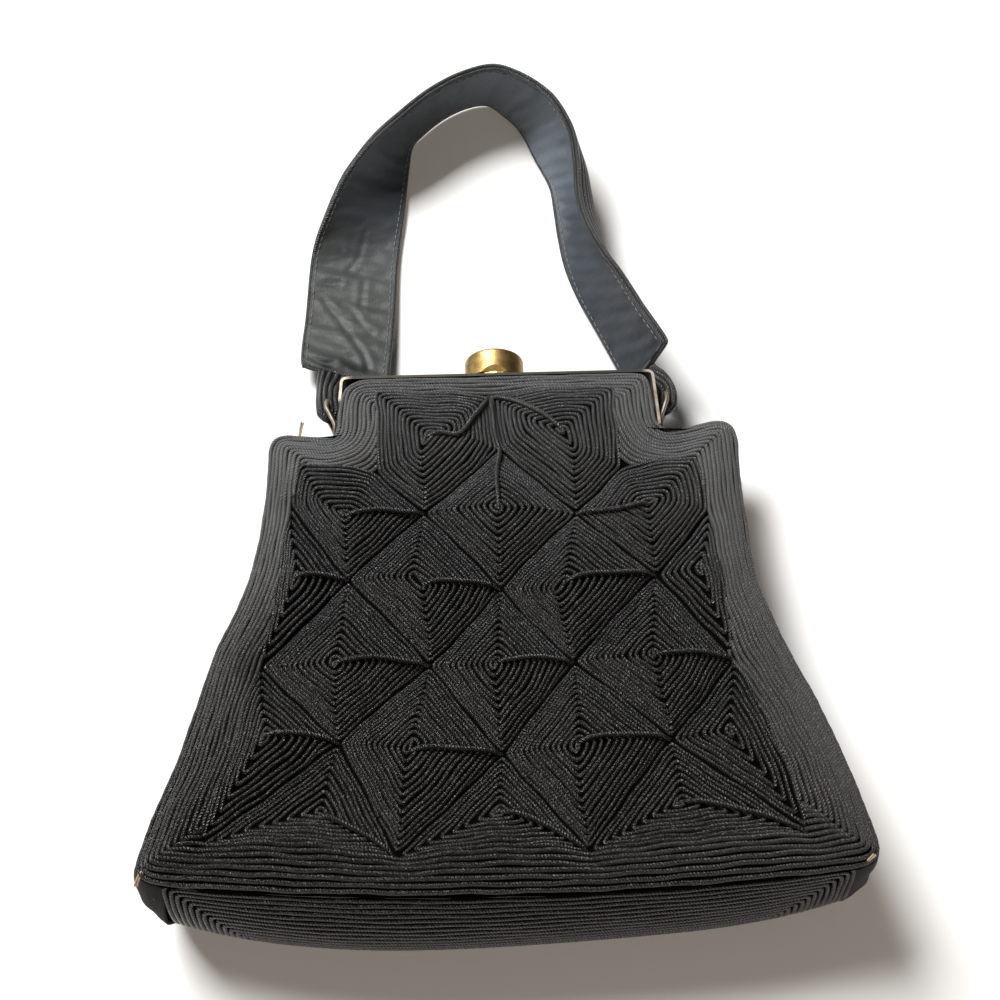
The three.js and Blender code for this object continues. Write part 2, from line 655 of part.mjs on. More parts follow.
const plateLow = FRAME_TOP + GAP;
const plateTop = plateLow + PLATE.thick;
const capLow = plateTop + GAP;
const pinPlace = [plateTop + CLASP_PIN.rise, CLASP_PIN.depth];
const pinHole = CLASP_PIN.radius + GAP;

// Half of the round plate under the cap, on the front or the back half of the frame
function halfPlate(side) {
  const disc = solidOf(rod("up", PLATE.radius, plateLow, plateTop, [0, 0], 28));
  const reach = 2 * PLATE.radius;
  const [depth0, depth1] = side > 0 ? [PLATE.split, reach] : [-reach, -PLATE.split];
  return disc.intersect(solidOf(box(-reach, reach, plateLow - 1, plateTop + 1, depth0, depth1)));
}

function claspPlate() {
  let plate = halfPlate(-1);
  const [pinUp, pinDepth] = pinPlace;
  const { radius } = KNUCKLE;
  for (const side of [-1, 1]) {
    const [x0, x1] = mirrored(KNUCKLE.earInner, KNUCKLE.earOuter, side);
    const [hole0, hole1] = mirrored(KNUCKLE.earInner - 1, KNUCKLE.earOuter + 1, side);
    plate = plate
      .add(solidOf(box(x0, x1, plateLow + GAP, pinUp, pinDepth - radius, pinDepth + radius)))
      .add(solidOf(rod("x", radius, x0, x1, pinPlace)))
      .subtract(solidOf(rod("x", pinHole, hole0, hole1, pinPlace)));
  }
  return geometryOf(plate);
}

function claspStud() {
  const top = plateTop + STUD.height;
  const profile = [
    [0, plateLow + GAP],
    [STUD.radius, plateLow + GAP],
    [STUD.radius, plateTop + 1],
    [STUD.neck, plateTop + 2],
    [STUD.neck, top - 1.6],
    [STUD.radius, top - 1],
    [STUD.neck, top],
    [0, top],
  ];
  const post = new THREE.LatheGeometry(profile.map(([r, up]) => new THREE.Vector2(r, up)), 16);
  return geometryOf(halfPlate(1).add(solidOf(post.translate(0, 0, STUD.depth))));
}

// The lift cap: a drum with a thumb bevel, hollowed underneath for the stud and for the ears
function claspCap() {
  const capTop = capLow + CAP.height;
  const profile = new THREE.Path();
  profile.moveTo(0, capLow);
  profile.lineTo(CAP.radius, capLow);
  profile.lineTo(CAP.radius, capTop - CAP.edge);
  profile.quadraticCurveTo(CAP.radius, capTop, CAP.radius - CAP.edge, capTop);
  profile.lineTo(0, capTop);
  const below = capLow - 1;
  const slotTop = capLow + SLOT.height;
  const [pinUp, pinDepth] = pinPlace;
  const { radius, lugHalf } = KNUCKLE;
  const wedge = new THREE.Shape([
    new THREE.Vector2(CAP.radius - BEVEL.reach, capLow),
    new THREE.Vector2(CAP.radius - BEVEL.reach, below),
    new THREE.Vector2(CAP.radius + BEVEL.reach, below),
    new THREE.Vector2(CAP.radius + BEVEL.reach, capLow + 2 * BEVEL.height),
  ]);
  const bevel = new THREE.ExtrudeGeometry(wedge, { depth: 4 * CAP.radius, bevelEnabled: false });
  bevel.translate(0, 0, -2 * CAP.radius).rotateY(-Math.PI / 2);
  const reach = 2 * CAP.radius;
  const lug = solidOf(box(-lugHalf, lugHalf, pinUp, slotTop + 1, pinDepth - radius, pinDepth + radius))
    .add(solidOf(rod("x", radius, -lugHalf, lugHalf, pinPlace)));
  const cap = solidOf(new THREE.LatheGeometry(profile.getPoints(3), 36))
    .subtract(solidOf(rod("up", POCKET.radius, below, capLow + POCKET.height, [0, POCKET.depth], 20)))
    .subtract(solidOf(box(-SLOT.half, SLOT.half, below, slotTop, SLOT.back, SLOT.front)))
    .subtract(solidOf(box(-reach, reach, below, capLow + UNDERCUT, -reach, pinDepth)))
    .subtract(solidOf(bevel))
    .add(lug)
    .subtract(solidOf(rod("x", pinHole, -lugHalf - 1, lugHalf + 1, pinPlace)));
  return geometryOf(cap);
}

place("clasp_plate", claspPlate(), "brass");
place("clasp_stud", claspStud(), "brass");
place("clasp_pin", rod("x", CLASP_PIN.radius, -CLASP_PIN.half, CLASP_PIN.half, pinPlace, 16), "brass");
place("clasp_cap", claspCap(), "brass");

export default bag;
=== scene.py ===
# The looks of a black corded frame handbag, lying on its back with its strap laid out above the frame.
# Lengths are in millimetres until a mesh is made. The bag is drawn standing, as (x, up, depth towards the
# front), and laid() lays it on its back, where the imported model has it.
import math

import bpy
import numpy as np
from mathutils import Matrix, Vector


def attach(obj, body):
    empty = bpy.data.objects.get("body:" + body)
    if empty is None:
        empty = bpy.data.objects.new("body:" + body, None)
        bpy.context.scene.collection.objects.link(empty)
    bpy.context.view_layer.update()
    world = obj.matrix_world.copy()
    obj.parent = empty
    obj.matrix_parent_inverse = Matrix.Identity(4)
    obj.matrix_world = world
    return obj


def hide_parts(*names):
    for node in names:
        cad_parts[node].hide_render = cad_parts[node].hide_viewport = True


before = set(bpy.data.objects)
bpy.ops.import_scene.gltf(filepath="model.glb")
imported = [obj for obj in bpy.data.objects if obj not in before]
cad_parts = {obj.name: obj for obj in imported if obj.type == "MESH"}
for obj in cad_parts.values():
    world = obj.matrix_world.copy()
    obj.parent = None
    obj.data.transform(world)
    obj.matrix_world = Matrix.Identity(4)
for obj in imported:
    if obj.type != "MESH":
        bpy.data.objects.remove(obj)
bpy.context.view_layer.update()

# Sizes of the bag
MM = 0.001
BAG_HEIGHT = 217.0
BASE_DEPTH = 57.0
FRAME_DEPTH = 24.0
BACK_LIFT = 6.0
REST_UP = 86.0
PANEL_WALL = 3.6
FRONT_PUFF = 7.8
BACK_PUFF = 9.0
PUFF_REACH = 21.0
PUFF_POWER = 2.1  # how much steeper a padded cell is at its seams
EDGE_PUFF_WIDTH = 26.0  # how far in from its edge a panel's padding is at its full height
EDGE_ROLL = 3.0
EDGE_ROLL_WIDTH = 14.0
EDGE_ROLL_FADE = 24.0
SEAM_GAP = 0.3
SEAM_INSET = 1.0

# The panels' outline, its right half
BASE_HALF = 132.0
BASE_BOW = 7.0
BASE_CORNER = (120.5, 14.0)
SIDE = [(126.3, 35.5), (120.8, 54), (109.6, 91), (100.6, 118), (97, 145), (96, 176)]
SHOULDER = {"half": 96.0, "up": 190.5, "round": 8.0}
RIGHT_SHOULDER_RISE = 2.0
# The bag isn't quite even: up, and how far both its edges lie to the right there
EDGE_SHIFT = [
    (0, -0.6), (25, -0.2), (50, 0.8), (72, 0), (95, -1.8), (120, -0.5), (145, 1.2), (175, 1.7),
]
NOTCH = {"half": 65.8, "up": 187.8, "round": 6.0}
NECK_HALF = 64.2
# The cords at each side of the neck: how far they lie over the frame's side strip, how high up they leave
# it, where they reach the frame's top strip, and how far they are raised at the side strip
NECK_SIDES = {
    -1: {"cover": 0.9, "bend_up": 202.0, "top": (53, 216.5), "lift": 1.5},
    1: {"cover": -0.7, "bend_up": 209.0, "top": (59, 216.3), "lift": 0.5},
}
NECK_MIDDLE = (42, 216.3)
NECK_LIFT = 1.5  # how far the cords are raised over the top strip
# Where each of these starts, and the way over which it grows to its full
NECK_LIFT_UP = (184.5, 14.0)
NECK_LIFT_BESIDE = (-9.0, 8.0)  # from the neck's edge
NECK_LIFT_TOP = (-9.0, 8.5)  # from the top of the bag
RIGHT_RISE_BESIDE = (4.0, 16.0)  # from the notch
RIGHT_RISE_UP = (165.0, 22.0)
EDGE_SHIFT_BESIDE = (66.0, 9.0)

# Where the quilting seams meet: x and up
SEAM_NODES = {
    "top": (-2.7, 207.5), "top_left": (-50, 209), "top_right": (48, 208.5),
    "crown": (0, 180.5), "neck_left": (-50, 172), "neck_right": (50, 172),
    "shoulder_left": (-80, 173), "shoulder_right": (80, 172),
    "waist_left": (-83, 157), "waist_right": (83, 150),
    "a_left": (-29.8, 152), "a_right": (29.4, 151),
    "b_left": (-59.7, 123.8), "b_middle": (0, 118), "b_right": (59.6, 121.8),
    "c_outer_left": (-90.5, 87.6), "c_left": (-28, 86),
    "c_right": (25.7, 86.5), "c_outer_right": (87, 87),
    "d_left": (-60.9, 56.4), "d_middle": (-0.8, 51.1), "d_right": (60, 55.8),
    "e_outer_left": (-108.6, 20), "e_left": (-39.7, 14.9),
    "e_right": (28.1, 14.8), "e_outer_right": (107, 18.5),
    "bend_left": (-15.2, 186.1), "high_left": (-8.5, 197),
    "bend_right": (19.1, 192.4), "high_right": (10.5, 199.4),
}
# Each padded cell: its corners in turn, the middle of its spiral, and the way its stem runs from there
CELLS = [
    ("a_left crown a_right b_middle", (-1.3, 149.9), "crown top"),
    ("b_left a_left b_middle c_left", (-30.9, 116), "b_middle"),
    ("b_middle a_right b_right c_right", (23, 117.5), "b_right"),
    ("c_left b_middle c_right d_middle", (-4.9, 83.7), "c_right"),
    ("c_right b_right c_outer_right d_right", (54.7, 84.8), "c_outer_right"),
    ("c_outer_left b_left c_left d_left", (-62.9, 85.2), "c_left"),
    ("d_left c_left d_middle e_left", (-35.9, 51.7), "d_middle"),
    ("d_middle c_right d_right e_right", (25.8, 51.6), "d_right"),
    ("e_left d_middle e_right", (-2.9, 27.1), "e_right"),
    ("e_right d_right e_outer_right", (61.6, 29.4), "e_outer_right"),
    ("e_outer_left d_left e_left", (-66.5, 28), "e_left"),
    ("e_outer_left c_outer_left d_left", (-87.4, 58.4), "d_left"),
    ("d_right c_outer_right e_outer_right", (80, 55.8), ""),
    ("c_outer_left waist_left b_left", (-80.1, 123.4), "b_left"),
    ("b_right waist_right c_outer_right", (76, 120.7), ""),
    ("b_left waist_left shoulder_left neck_left a_left", (-61.5, 149.3), "a_left"),
    ("a_right neck_right shoulder_right waist_right b_right", (56.9, 150.6), "a_right"),
    ("a_left neck_left top_left top crown", (-29.7, 185.9), "bend_left high_left top"),
    ("crown top top_right neck_right a_right", (26.9, 185.2), "bend_right high_right top"),
]

# The cord
CORD_PITCH = 2.1
CELL_PITCH = 1.75
CORD_RADIUS = 0.95
CELL_CORD_RADIUS = 0.84
CORD_SINK = 0.9  # how far the middle of a cord lies under the panel's outer surface
STEM_RADIUS = 0.95
STEM_LIFT = 1.1
STEM_SETTLE = 0.4  # how far a stem sinks into the cords under it
STEM_ENDS = 0.12  # share of its length over which a stem comes up from its cell
STEM_BEND = 0.4  # share of the way to the first seam node at which a stem bows most
BORDER_ROWS = 16
ROW_SLACK = 0.06  # by which a border row may be nearer the outline than it should
BORDER_OVERLAP = 0.4  # share of a pitch by which the border's rows run into the cells
RIM_INSET = 0.42  # of the cord round the rim, as a share of a pitch
RIM_SINK = 2.9
RIM_GAP = {"below": 1.0, "beside": 3.0}  # round the notches, where the rim's cord stops
ROW_START = 173  # points by which each border row starts further round than the last
SIDE_PITCH = 1.75  # of the border rows above the bottom of the bag
SIDE_PITCH_UP = (6.0, 14.0)
SIDE_PITCH_SOFTNESS = 8.0
TURN_POINTS = 720
SPIRAL_LEAD = 0.13  # turns that a spiral runs along the seam before its first full turn
SPIRAL_EDGE = 0.42  # of a spiral's first row from the seam, as a share of a pitch
SPIRAL_ROOM = 0.35  # and of its last row from the middle
SPIRAL_JOG = (0.86, 0.14)  # part of a turn in which a row steps in to the next
SPIRAL_TURNS = 9  # turns over which the rows of a cell become a spiral
SPIRAL_SHIFT = 0.85  # share of the way that a spiral wanders to its own middle
LONGEST_CENTRE = 2.4  # longer middles of spirals are filled with a straight end of the cord
STEM_BOW = 0.03  # how far a stem bows aside, as a share of its length
CORD_SIDES = 8
ROUTE_STEP = 0.5  # between the points that a route is worked out with
CORNER_SOFTNESS = 1.3  # how widely a cord rounds a corner
MIDDLE_SOFTNESS = 2.2  # and in the middle of a cell
LONGEST_STEP = 2.4
SHORTEST_STRETCH = 22  # points
SHORTEST_FILL = 8  # points
SHORT_ABOVE = 150.0  # where shorter stretches fill the corners beside the neck
SHARPEST_TURN = 0.22
SLOPE_REACH = 0.4  # over which the slope of a surface is measured
GROUND_SINK = 0.35  # how far the cloth lies under the middles of the cords

# The gussets and the base
GUSSET_WALL = 1.4
# How far each gusset folds in, at shares of its length
GUSSET_FOLDS = {
    -1: [(0, -8.8), (0.065, -4.5), (0.28, 0), (0.59, 6), (0.86, 9), (1, 3)],
    1: [(0, -5.7), (0.065, -2), (0.28, 0), (0.59, 6), (0.86, 9), (1, 3)],
}
BASE_CORD_HALF = 120.0
BASE_CORD_COVER = 2.4  # how far the base's cords lie over the ends of the gussets
BASE_WALL = 2.6
BASE_BULGE = 15.0
BASE_BULGE_LOSS = {"left": 0.62, "right": 0.75}  # share of the bulge that is gone at each end
BASE_RIGHT_LOSS = 0.2  # share of the bulge that the right half loses
BASE_RIGHT_FROM = (-60.0, 120.0)

# The strap as it lies, from its left end to its right end: x, y and z of its inner edge, then, in degrees,
# the heading and the rise of the way to its outer edge, and how far it curls over
STRAP = [
    (-47.5, 139.5, 8.5, 163, 4, 4), (-45.1, 173, 4.5, 180, 4, 2), (-43.6, 206, 2.6, 183, 5, 4),
    (-40.9, 232, 2.6, 198, 25, 10), (-39, 254, 2.6, 212, 39, 14), (-37, 268, 2.6, 230, 54, 10),
    (-31.5, 275, 2.6, 243, 65, 6), (-21, 284, 2.6, 251, 70, 4), (-9.6, 289.5, 2.6, 262, 74, 4),
    (-1, 290, 2.6, 290, 77, 6), (6.3, 284, 2.6, 318, 75, 10), (13.6, 275.3, 2.6, 330, 69, 20),
    (20.6, 258, 2.6, 337, 67, 55), (26.6, 243, 2.6, 326, 70, 100), (28, 231, 2.6, 322, 70, 125),
    (29.3, 217, 2.6, 321, 68, 125), (32, 200.6, 2.6, 326, 64, 90), (37, 185.5, 2.6, 332, 62, 40),
    (45, 168, 2.6, 338, 65, 14), (58.5, 137.5, 3, 20, 71, 4),
]
STRAP_WIDTH = 39.0
LINING = 1.0
STRAP_CORD_ROWS = 18
STRAP_CORD_SINK = 0.35
STITCH = {"length": 2.3, "gap": 0.9, "radius": 0.26, "inset": 2.4, "lift": 0.06}
# Along a stitch: the share of its length, and how high it lies there
STITCH_SHAPE = np.array([(0, -0.3), (0.2, 0.05), (0.5, 0.12), (0.8, 0.05), (1, -0.3)])
THREAD_SIDES = 5

# The strap's tabs and rings
RING_TOP = {"half": 71.8, "up": 213.0}
EYE_HALF = 67.8
RIGHT_RING_IN = 1.0  # how far in the right ring's upper end and its tab sit
HINGE_UP = 192.5
WIRE_RADIUS = 0.95
RING_HALF_DEPTH = 7.0
TAB = {"half_width": 5.2, "half_depth": 4.4, "beyond": 8.4}
# Where each tab meets the strap: its half width there, and how many eighths across the strap
TAB_AT_STRAP = {-1: {"half_width": 7.0, "eighth": 5}, 1: {"half_width": 4.0, "eighth": 4}}
TAB_FLAT_DEPTH = 1.6
TAB_CORDS = 12
TAB_CORD_SINK = 0.7
TAB_CORE_SINK = 0.9

# The clasp's lift cap
CAP = {"radius": 12.5, "height": 11.1, "rim": 1.4, "low": 219.9, "x": -1.1}
CAP_BEVEL = {"height": 2.6, "reach": 1.2}

# The photograph's camera
CAMERA = (0.0, -144.5, 594.8)
CAMERA_ELEVATION = 68.5
CAMERA_ROLL = 1.4
LENS = 54.0

ENDS = {"left": -1, "right": 1}

LEAN = math.atan((BASE_DEPTH - FRAME_DEPTH) / 2 / BAG_HEIGHT)
REST_DEPTH = REST_UP * math.tan(LEAN) - BASE_DEPTH / 2 - BACK_LIFT / math.cos(LEAN)
LAID_TURN = np.array([
    [1, 0, 0],
    [0, math.cos(LEAN), math.sin(LEAN)],
    [0, -math.sin(LEAN), math.cos(LEAN)],
])
LAID_SHIFT = np.array([
    0,
    -REST_UP * math.cos(LEAN) - REST_DEPTH * math.sin(LEAN),
    BACK_LIFT + BASE_DEPTH / 2 * math.cos(LEAN),
])


def laid(points):
    return points @ LAID_TURN.T + LAID_SHIFT


def half_depth(up):
    return BASE_DEPTH / 2 - up * math.tan(LEAN)


def unit(vectors):
    return vectors / np.linalg.norm(vectors, axis=-1, keepdims=True)


def smoothstep(value):
    share = np.clip(value, 0, 1)
    return share * share * (3 - 2 * share)


def rising(value, start, over):
    """0 up to start, then a smooth rise to 1."""
    return smoothstep((value - start) / over)


def leftward(runs):
    return np.column_stack([-runs[:, 1], runs[:, 0]])


def slopes(height, first, second):
    """How steeply a height rises along each of the two coordinates that it is worked out from."""
    reach = SLOPE_REACH
    rise_first = height(first + reach, second) - height(first - reach, second)
    rise_second = height(first, second + reach) - height(first, second - reach)
    return rise_first / (2 * reach), rise_second / (2 * reach)


# Lines

def quadratic(start, pull, end, count=9):
    t = np.linspace(0, 1, count)[:, None]
    start, pull, end = (np.array(p, float) for p in (start, pull, end))
    return (1 - t) ** 2 * start + 2 * t * (1 - t) * pull + t ** 2 * end


def through(points, count=12):
    """A smooth line through points."""
    points = np.array(points, float)
    padded = np.vstack([points[:1], points, points[-1:]])
    t = np.linspace(0, 1, count, endpoint=False)[:, None]
    pieces = []
    for before, a, b, after in zip(padded, padded[1:], padded[2:], padded[3:]):
        leave, arrive = (b - before) / 2, (after - a) / 2
        curve = 2 * a - 2 * b + leave + arrive
        pieces.append(((curve * t + 3 * b - 3 * a - 2 * leave - arrive) * t + leave) * t + a)
    return np.vstack(pieces + [points[-1:]])


def lengths_along(line):
    return np.concatenate([[0], np.cumsum(np.linalg.norm(np.diff(line, axis=0), axis=1))])


def points_at(places, along, line):
    """The points of a line at places along it."""
    return np.column_stack([np.interp(places, along, column) for column in line.T])


def resampled(line, step):
    """The same line with evenly spaced points."""
    along = lengths_along(line)
    places = np.linspace(0, along[-1], max(3, int(round(along[-1] / step)) + 1))
    return points_at(places, along, line)


def softened(line, reach, closed=False):
    """The line with its corners rounded."""
    window = int(3 * reach / ROUTE_STEP)
    weights = np.exp(-0.5 * (np.arange(-window, window + 1) * ROUTE_STEP / reach) ** 2)
    weights /= weights.sum()
    if closed:
        padded = np.vstack([line[-window:], line, line[:window]])
    else:
        before = 2 * line[0] - line[window:0:-1]
        after = 2 * line[-1] - line[-2:-window - 2:-1]
        padded = np.vstack([before, line, after])
    return np.column_stack([np.convolve(column, weights, "valid") for column in padded.T])


def thinned(line):
    """The line without the points that its straight stretches don't need."""
    steps = np.diff(line, axis=0)
    headings = np.unwrap(np.arctan2(steps[:, 1], steps[:, 0]))
    along = lengths_along(line)
    kept = [0]
    for i in range(1, len(line) - 1):
        turned = abs(headings[i] - headings[kept[-1]]) > SHARPEST_TURN
        if turned or along[i + 1] - along[kept[-1]] > LONGEST_STEP:
            kept.append(i)
    return line[kept + [len(line) - 1]]


# The outline and the quilting

def base_edge(x):
    return BASE_BOW * (x / BASE_HALF) ** 2


def neck_edge(up):
    return np.interp(up, [NOTCH["up"], BAG_HEIGHT], [NOTCH["half"], NECK_HALF])


def half_outline(side):
    """The outline's right half, or its left half mirrored."""
    corner_half, corner_up = BASE_CORNER
    low_corner = (corner_half, base_edge(corner_half))
    side_foot = (BASE_HALF, corner_up)
    half, up, bend = SHOULDER["half"], SHOULDER["up"], SHOULDER["round"]
    notch = (NOTCH["half"], NOTCH["up"])
    notch_top = NOTCH["up"] + NOTCH["round"]
    neck = NECK_SIDES[side]
    side_top = (neck_edge(neck["bend_up"]) + neck["cover"], neck["bend_up"])
    line = np.vstack([
        quadratic((0, 0), (corner_half / 2, 0), low_corner),
        quadratic(low_corner, (BASE_HALF, base_edge(BASE_HALF)), side_foot),
        through([side_foot] + SIDE),
        quadratic((half, up - bend), (half, up), (half - bend, up)),
        quadratic(
            (NOTCH["half"] + NOTCH["round"], NOTCH["up"] + NOTCH["round"] / 5),
            notch,
            (neck_edge(notch_top) + neck["cover"], notch_top),
        ),
        quadratic(side_top, (NECK_HALF + neck["cover"], BAG_HEIGHT), neck["top"]),
        [NECK_MIDDLE, (0, NECK_MIDDLE[1])],
    ])
    apart = np.append(True, np.linalg.norm(np.diff(line, axis=0), axis=1) > 1e-6)
    return resampled(line[apart], ROUTE_STEP)


def mirrored(line):
    return line * np.array([-1, 1])


def uneven(line):
    """An edge with the bag's own unevenness."""
    x, up = line.T
    shift = np.interp(up, *zip(*EDGE_SHIFT))
    beside = rising(x - NOTCH["half"], *RIGHT_RISE_BESIDE)
    rise = RIGHT_SHOULDER_RISE * beside * rising(up, *RIGHT_RISE_UP)
    return np.column_stack([x + shift * rising(np.abs(x), *EDGE_SHIFT_BESIDE), up + rise])


edges = {1: uneven(half_outline(1)), -1: uneven(mirrored(half_outline(-1)))}
outline = np.vstack([edges[1], edges[-1][-2:0:-1]])
outline_inward = leftward(unit(np.roll(outline, -2, axis=0) - np.roll(outline, 2, axis=0)))


def cell_walls(names):
    """A cell's walls: their outward normals, and how far out along them they lie."""
    corners = np.array([SEAM_NODES[name] for name in names.split()], float)
    runs = np.roll(corners, -1, axis=0) - corners
    normals = unit(leftward(runs))
    return normals, np.sum(normals * corners, axis=1)


def wall_ends(names):
    """The two seam nodes of each of a cell's walls."""
    names = names.split()
    return [frozenset(pair) for pair in zip(names, names[1:] + names[:1])]


cells = [cell_walls(corners) for corners, _, _ in CELLS]
all_walls = [ends for corners, _, _ in CELLS for ends in wall_ends(corners)]
quilted_seams = {ends for ends in all_walls if all_walls.count(ends) == 2}


def from_seams(points):
    """How far each point lies from the nearest seam between two cells."""
    nearest = np.full(len(points), np.inf)
    for ends in quilted_seams:
        start, end = (np.array(SEAM_NODES[name], float) for name in ends)
        run = end - start
        share = np.clip((points - start) @ run / (run @ run), 0, 1)
        nearest = np.minimum(nearest, np.linalg.norm(points - start - share[:, None] * run, axis=1))
    return nearest


def inside_cells(points):
    """How far each point lies inside the cell that it is in, and 0 on the border."""
    depth = np.zeros(len(points))
    for normals, reach in cells:
        depth = np.maximum(depth, np.min(reach - points @ normals.T, axis=1))
    return depth


def distance_to(points, edge, every=3):
    """How far each point lies from the nearest of every few points of an edge."""
    nearest = np.full(len(points), np.inf)
    for block in np.array_split(edge[::every], 12):
        gaps = np.linalg.norm(points[:, None, :] - block[None, :, :], axis=2)
        nearest = np.minimum(nearest, gaps.min(axis=1))
    return nearest


def inset(points):
    """How far each point lies from the outline below the shoulders."""
    return distance_to(points, outline[outline[:, 1] < SHOULDER["up"]])


def puffed(insets):
    """The shape of a cell's padding, from 0 at its seams to 1."""
    return 1 - (1 - np.clip(insets / PUFF_REACH, 0, 1)) ** PUFF_POWER


def panel_depth(points, side):
    """The depth of a panel's outer surface: side is 1 for the front and -1 for the back."""
    x, up = points.T
    from_edge = inset(points)
    from_rim = np.minimum(from_edge, distance_to(points, outline[outline[:, 1] >= SHOULDER["up"]]))
    edge_share = np.clip(from_rim / EDGE_PUFF_WIDTH, 0, 1)
    dome = puffed(from_seams(points)) * (1 - (1 - edge_share) ** 2)
    pressed = BACK_LIFT / math.cos(LEAN)
    rise = FRONT_PUFF * dome if side > 0 else np.minimum(pressed, BACK_PUFF * dome)
    fade = np.clip((SHOULDER["up"] - up) / EDGE_ROLL_FADE, 0, 1)
    roll = EDGE_ROLL * fade * np.clip(1 - from_edge / EDGE_ROLL_WIDTH, 0, 1) ** 2
    side_lift = np.where(x < 0, NECK_SIDES[-1]["lift"], NECK_SIDES[1]["lift"])
    beside = side_lift * rising(np.abs(x) - NECK_HALF, *NECK_LIFT_BESIDE)
    above = NECK_LIFT * rising(up - BAG_HEIGHT, *NECK_LIFT_TOP)
    lift = np.maximum(beside, above) * rising(up, *NECK_LIFT_UP)
    return side * (half_depth(up) + rise - roll + lift)


WOBBLE = {"wide": 0.55, "fine": 0.24, "below_top": 10.0, "from_edge": 12.0, "edge_share": 0.1}


def wobble(points):
    """Hand work: the seams and cords wander a little, and neighbours wander together."""
    x, up = points.T
    wide, fine = WOBBLE["wide"], WOBBLE["fine"]
    shift_x = wide * np.sin(0.083 * up + 0.031 * x + 0.7) + fine * np.sin(0.29 * up - 0.17 * x)
    shift_up = wide * np.sin(0.071 * x - 0.043 * up + 2.1) + fine * np.sin(0.31 * x + 0.19 * up)
    inner = np.clip(inset(points) / WOBBLE["from_edge"] - WOBBLE["edge_share"], 0, 1)
    inner = inner * np.clip((BAG_HEIGHT - up) / WOBBLE["below_top"], 0, 1)
    return points + np.column_stack([shift_x, shift_up]) * inner[:, None]


def on_panel(points, side, sink):
    """Points on a panel, and its outward normals there, both laid."""
    def depth_at(x, up):
        return panel_depth(np.column_stack([x, up]), side)

    slope_x, slope_up = slopes(depth_at, *points.T)
    normals = side * unit(np.column_stack([-slope_x, -slope_up, np.ones(len(points))]))
    places = np.column_stack([wobble(points), panel_depth(points, side)]) - sink * normals
    return laid(places), normals @ LAID_TURN.T


# Meshes from arrays

def new_mesh(name, points, faces, finish, uv=None):
    mesh = bpy.data.meshes.new(name)
    mesh.from_pydata((np.asarray(points) * MM).tolist(), [], faces)
    if uv is not None:
        layer = mesh.uv_layers.new(name="route")
        layer.data.foreach_set("uv", np.asarray(uv, np.float32).ravel())
    mesh.shade_smooth()
    mesh.materials.append(finish)
    piece = bpy.data.objects.new(name, mesh)
    bpy.context.scene.collection.objects.link(piece)
    return piece


def cords(name, routes, radius, finish, sides=CORD_SIDES):
    """Cords as one mesh. Each route is its points and the normals of what it lies on. The UV map holds the
    way along a cord in millimetres, and the way round it plus the cord's number."""
    turns = 2 * np.pi * (np.arange(sides) + 0.5) / sides
    points, faces, caps, uv, cap_uv = [], [], [], [], []
    first = 0
    for number, (line, normals) in enumerate(routes):
        along = unit(np.gradient(line, axis=0))
        across = unit(np.cross(along, normals))
        out = np.cross(across, along)
        beside = np.cos(turns)[None, :, None] * across[:, None, :]
        above = np.sin(turns)[None, :, None] * out[:, None, :]
        rings = line[:, None, :] + radius * (beside + above)
        points.append(rings.reshape(-1, 3))
        count = len(line)
        row, column = np.meshgrid(np.arange(count - 1), np.arange(sides), indexing="ij")
        after = (column + 1) % sides
        near, far = first + row * sides, first + (row + 1) * sides
        corners = np.stack([near + column, far + column, far + after, near + after], axis=2)
        faces += corners.reshape(-1, 4).tolist()
        distance = lengths_along(line)
        start, end = distance[row], distance[row + 1]
        around, further = number + column / sides, number + (column + 1) / sides
        corner_uv = [(start, around), (end, around), (end, further), (start, further)]
        uv.append(np.stack([np.stack(pair, axis=2) for pair in corner_uv], axis=2).reshape(-1, 2))
        last = first + (count - 1) * sides
        caps += [list(range(first, first + sides)), list(range(last + sides - 1, last - 1, -1))]
        cap_uv += [[0, number]] * sides + [[distance[-1], number]] * sides
        first += count * sides
    uv.append(np.array(cap_uv, float))
    return new_mesh(name, np.vstack(points), faces + caps, finish, np.vstack(uv))


def shell(name, outer, inner, finish, uv=None):
    """A wall between two grids of points, closed round its rim. uv gives each grid point's own place."""
    rows, columns = outer.shape[:2]
    count = rows * columns
    index = np.arange(count).reshape(rows, columns)
    a, b, c, d = index[:-1, :-1], index[1:, :-1], index[1:, 1:], index[:-1, 1:]
    face = np.stack([a, d, c, b], axis=2).reshape(-1, 4)
    back = face[:, ::-1] + count
    rim = np.concatenate([index[0, :-1], index[:-1, -1], index[-1, :0:-1], index[:0:-1, 0]])
    after = np.roll(rim, -1)
    edge = np.column_stack([rim, rim + count, after + count, after])
    faces = np.vstack([face, back, edge])
    corners = None
    if uv is not None:
        flat = np.vstack([uv.reshape(-1, 2)] * 2)
        corners = flat[faces.ravel()]
    points = np.vstack([outer.reshape(-1, 3), inner.reshape(-1, 3)])
    return new_mesh(name, points, faces.tolist(), finish, corners)


# Finishes

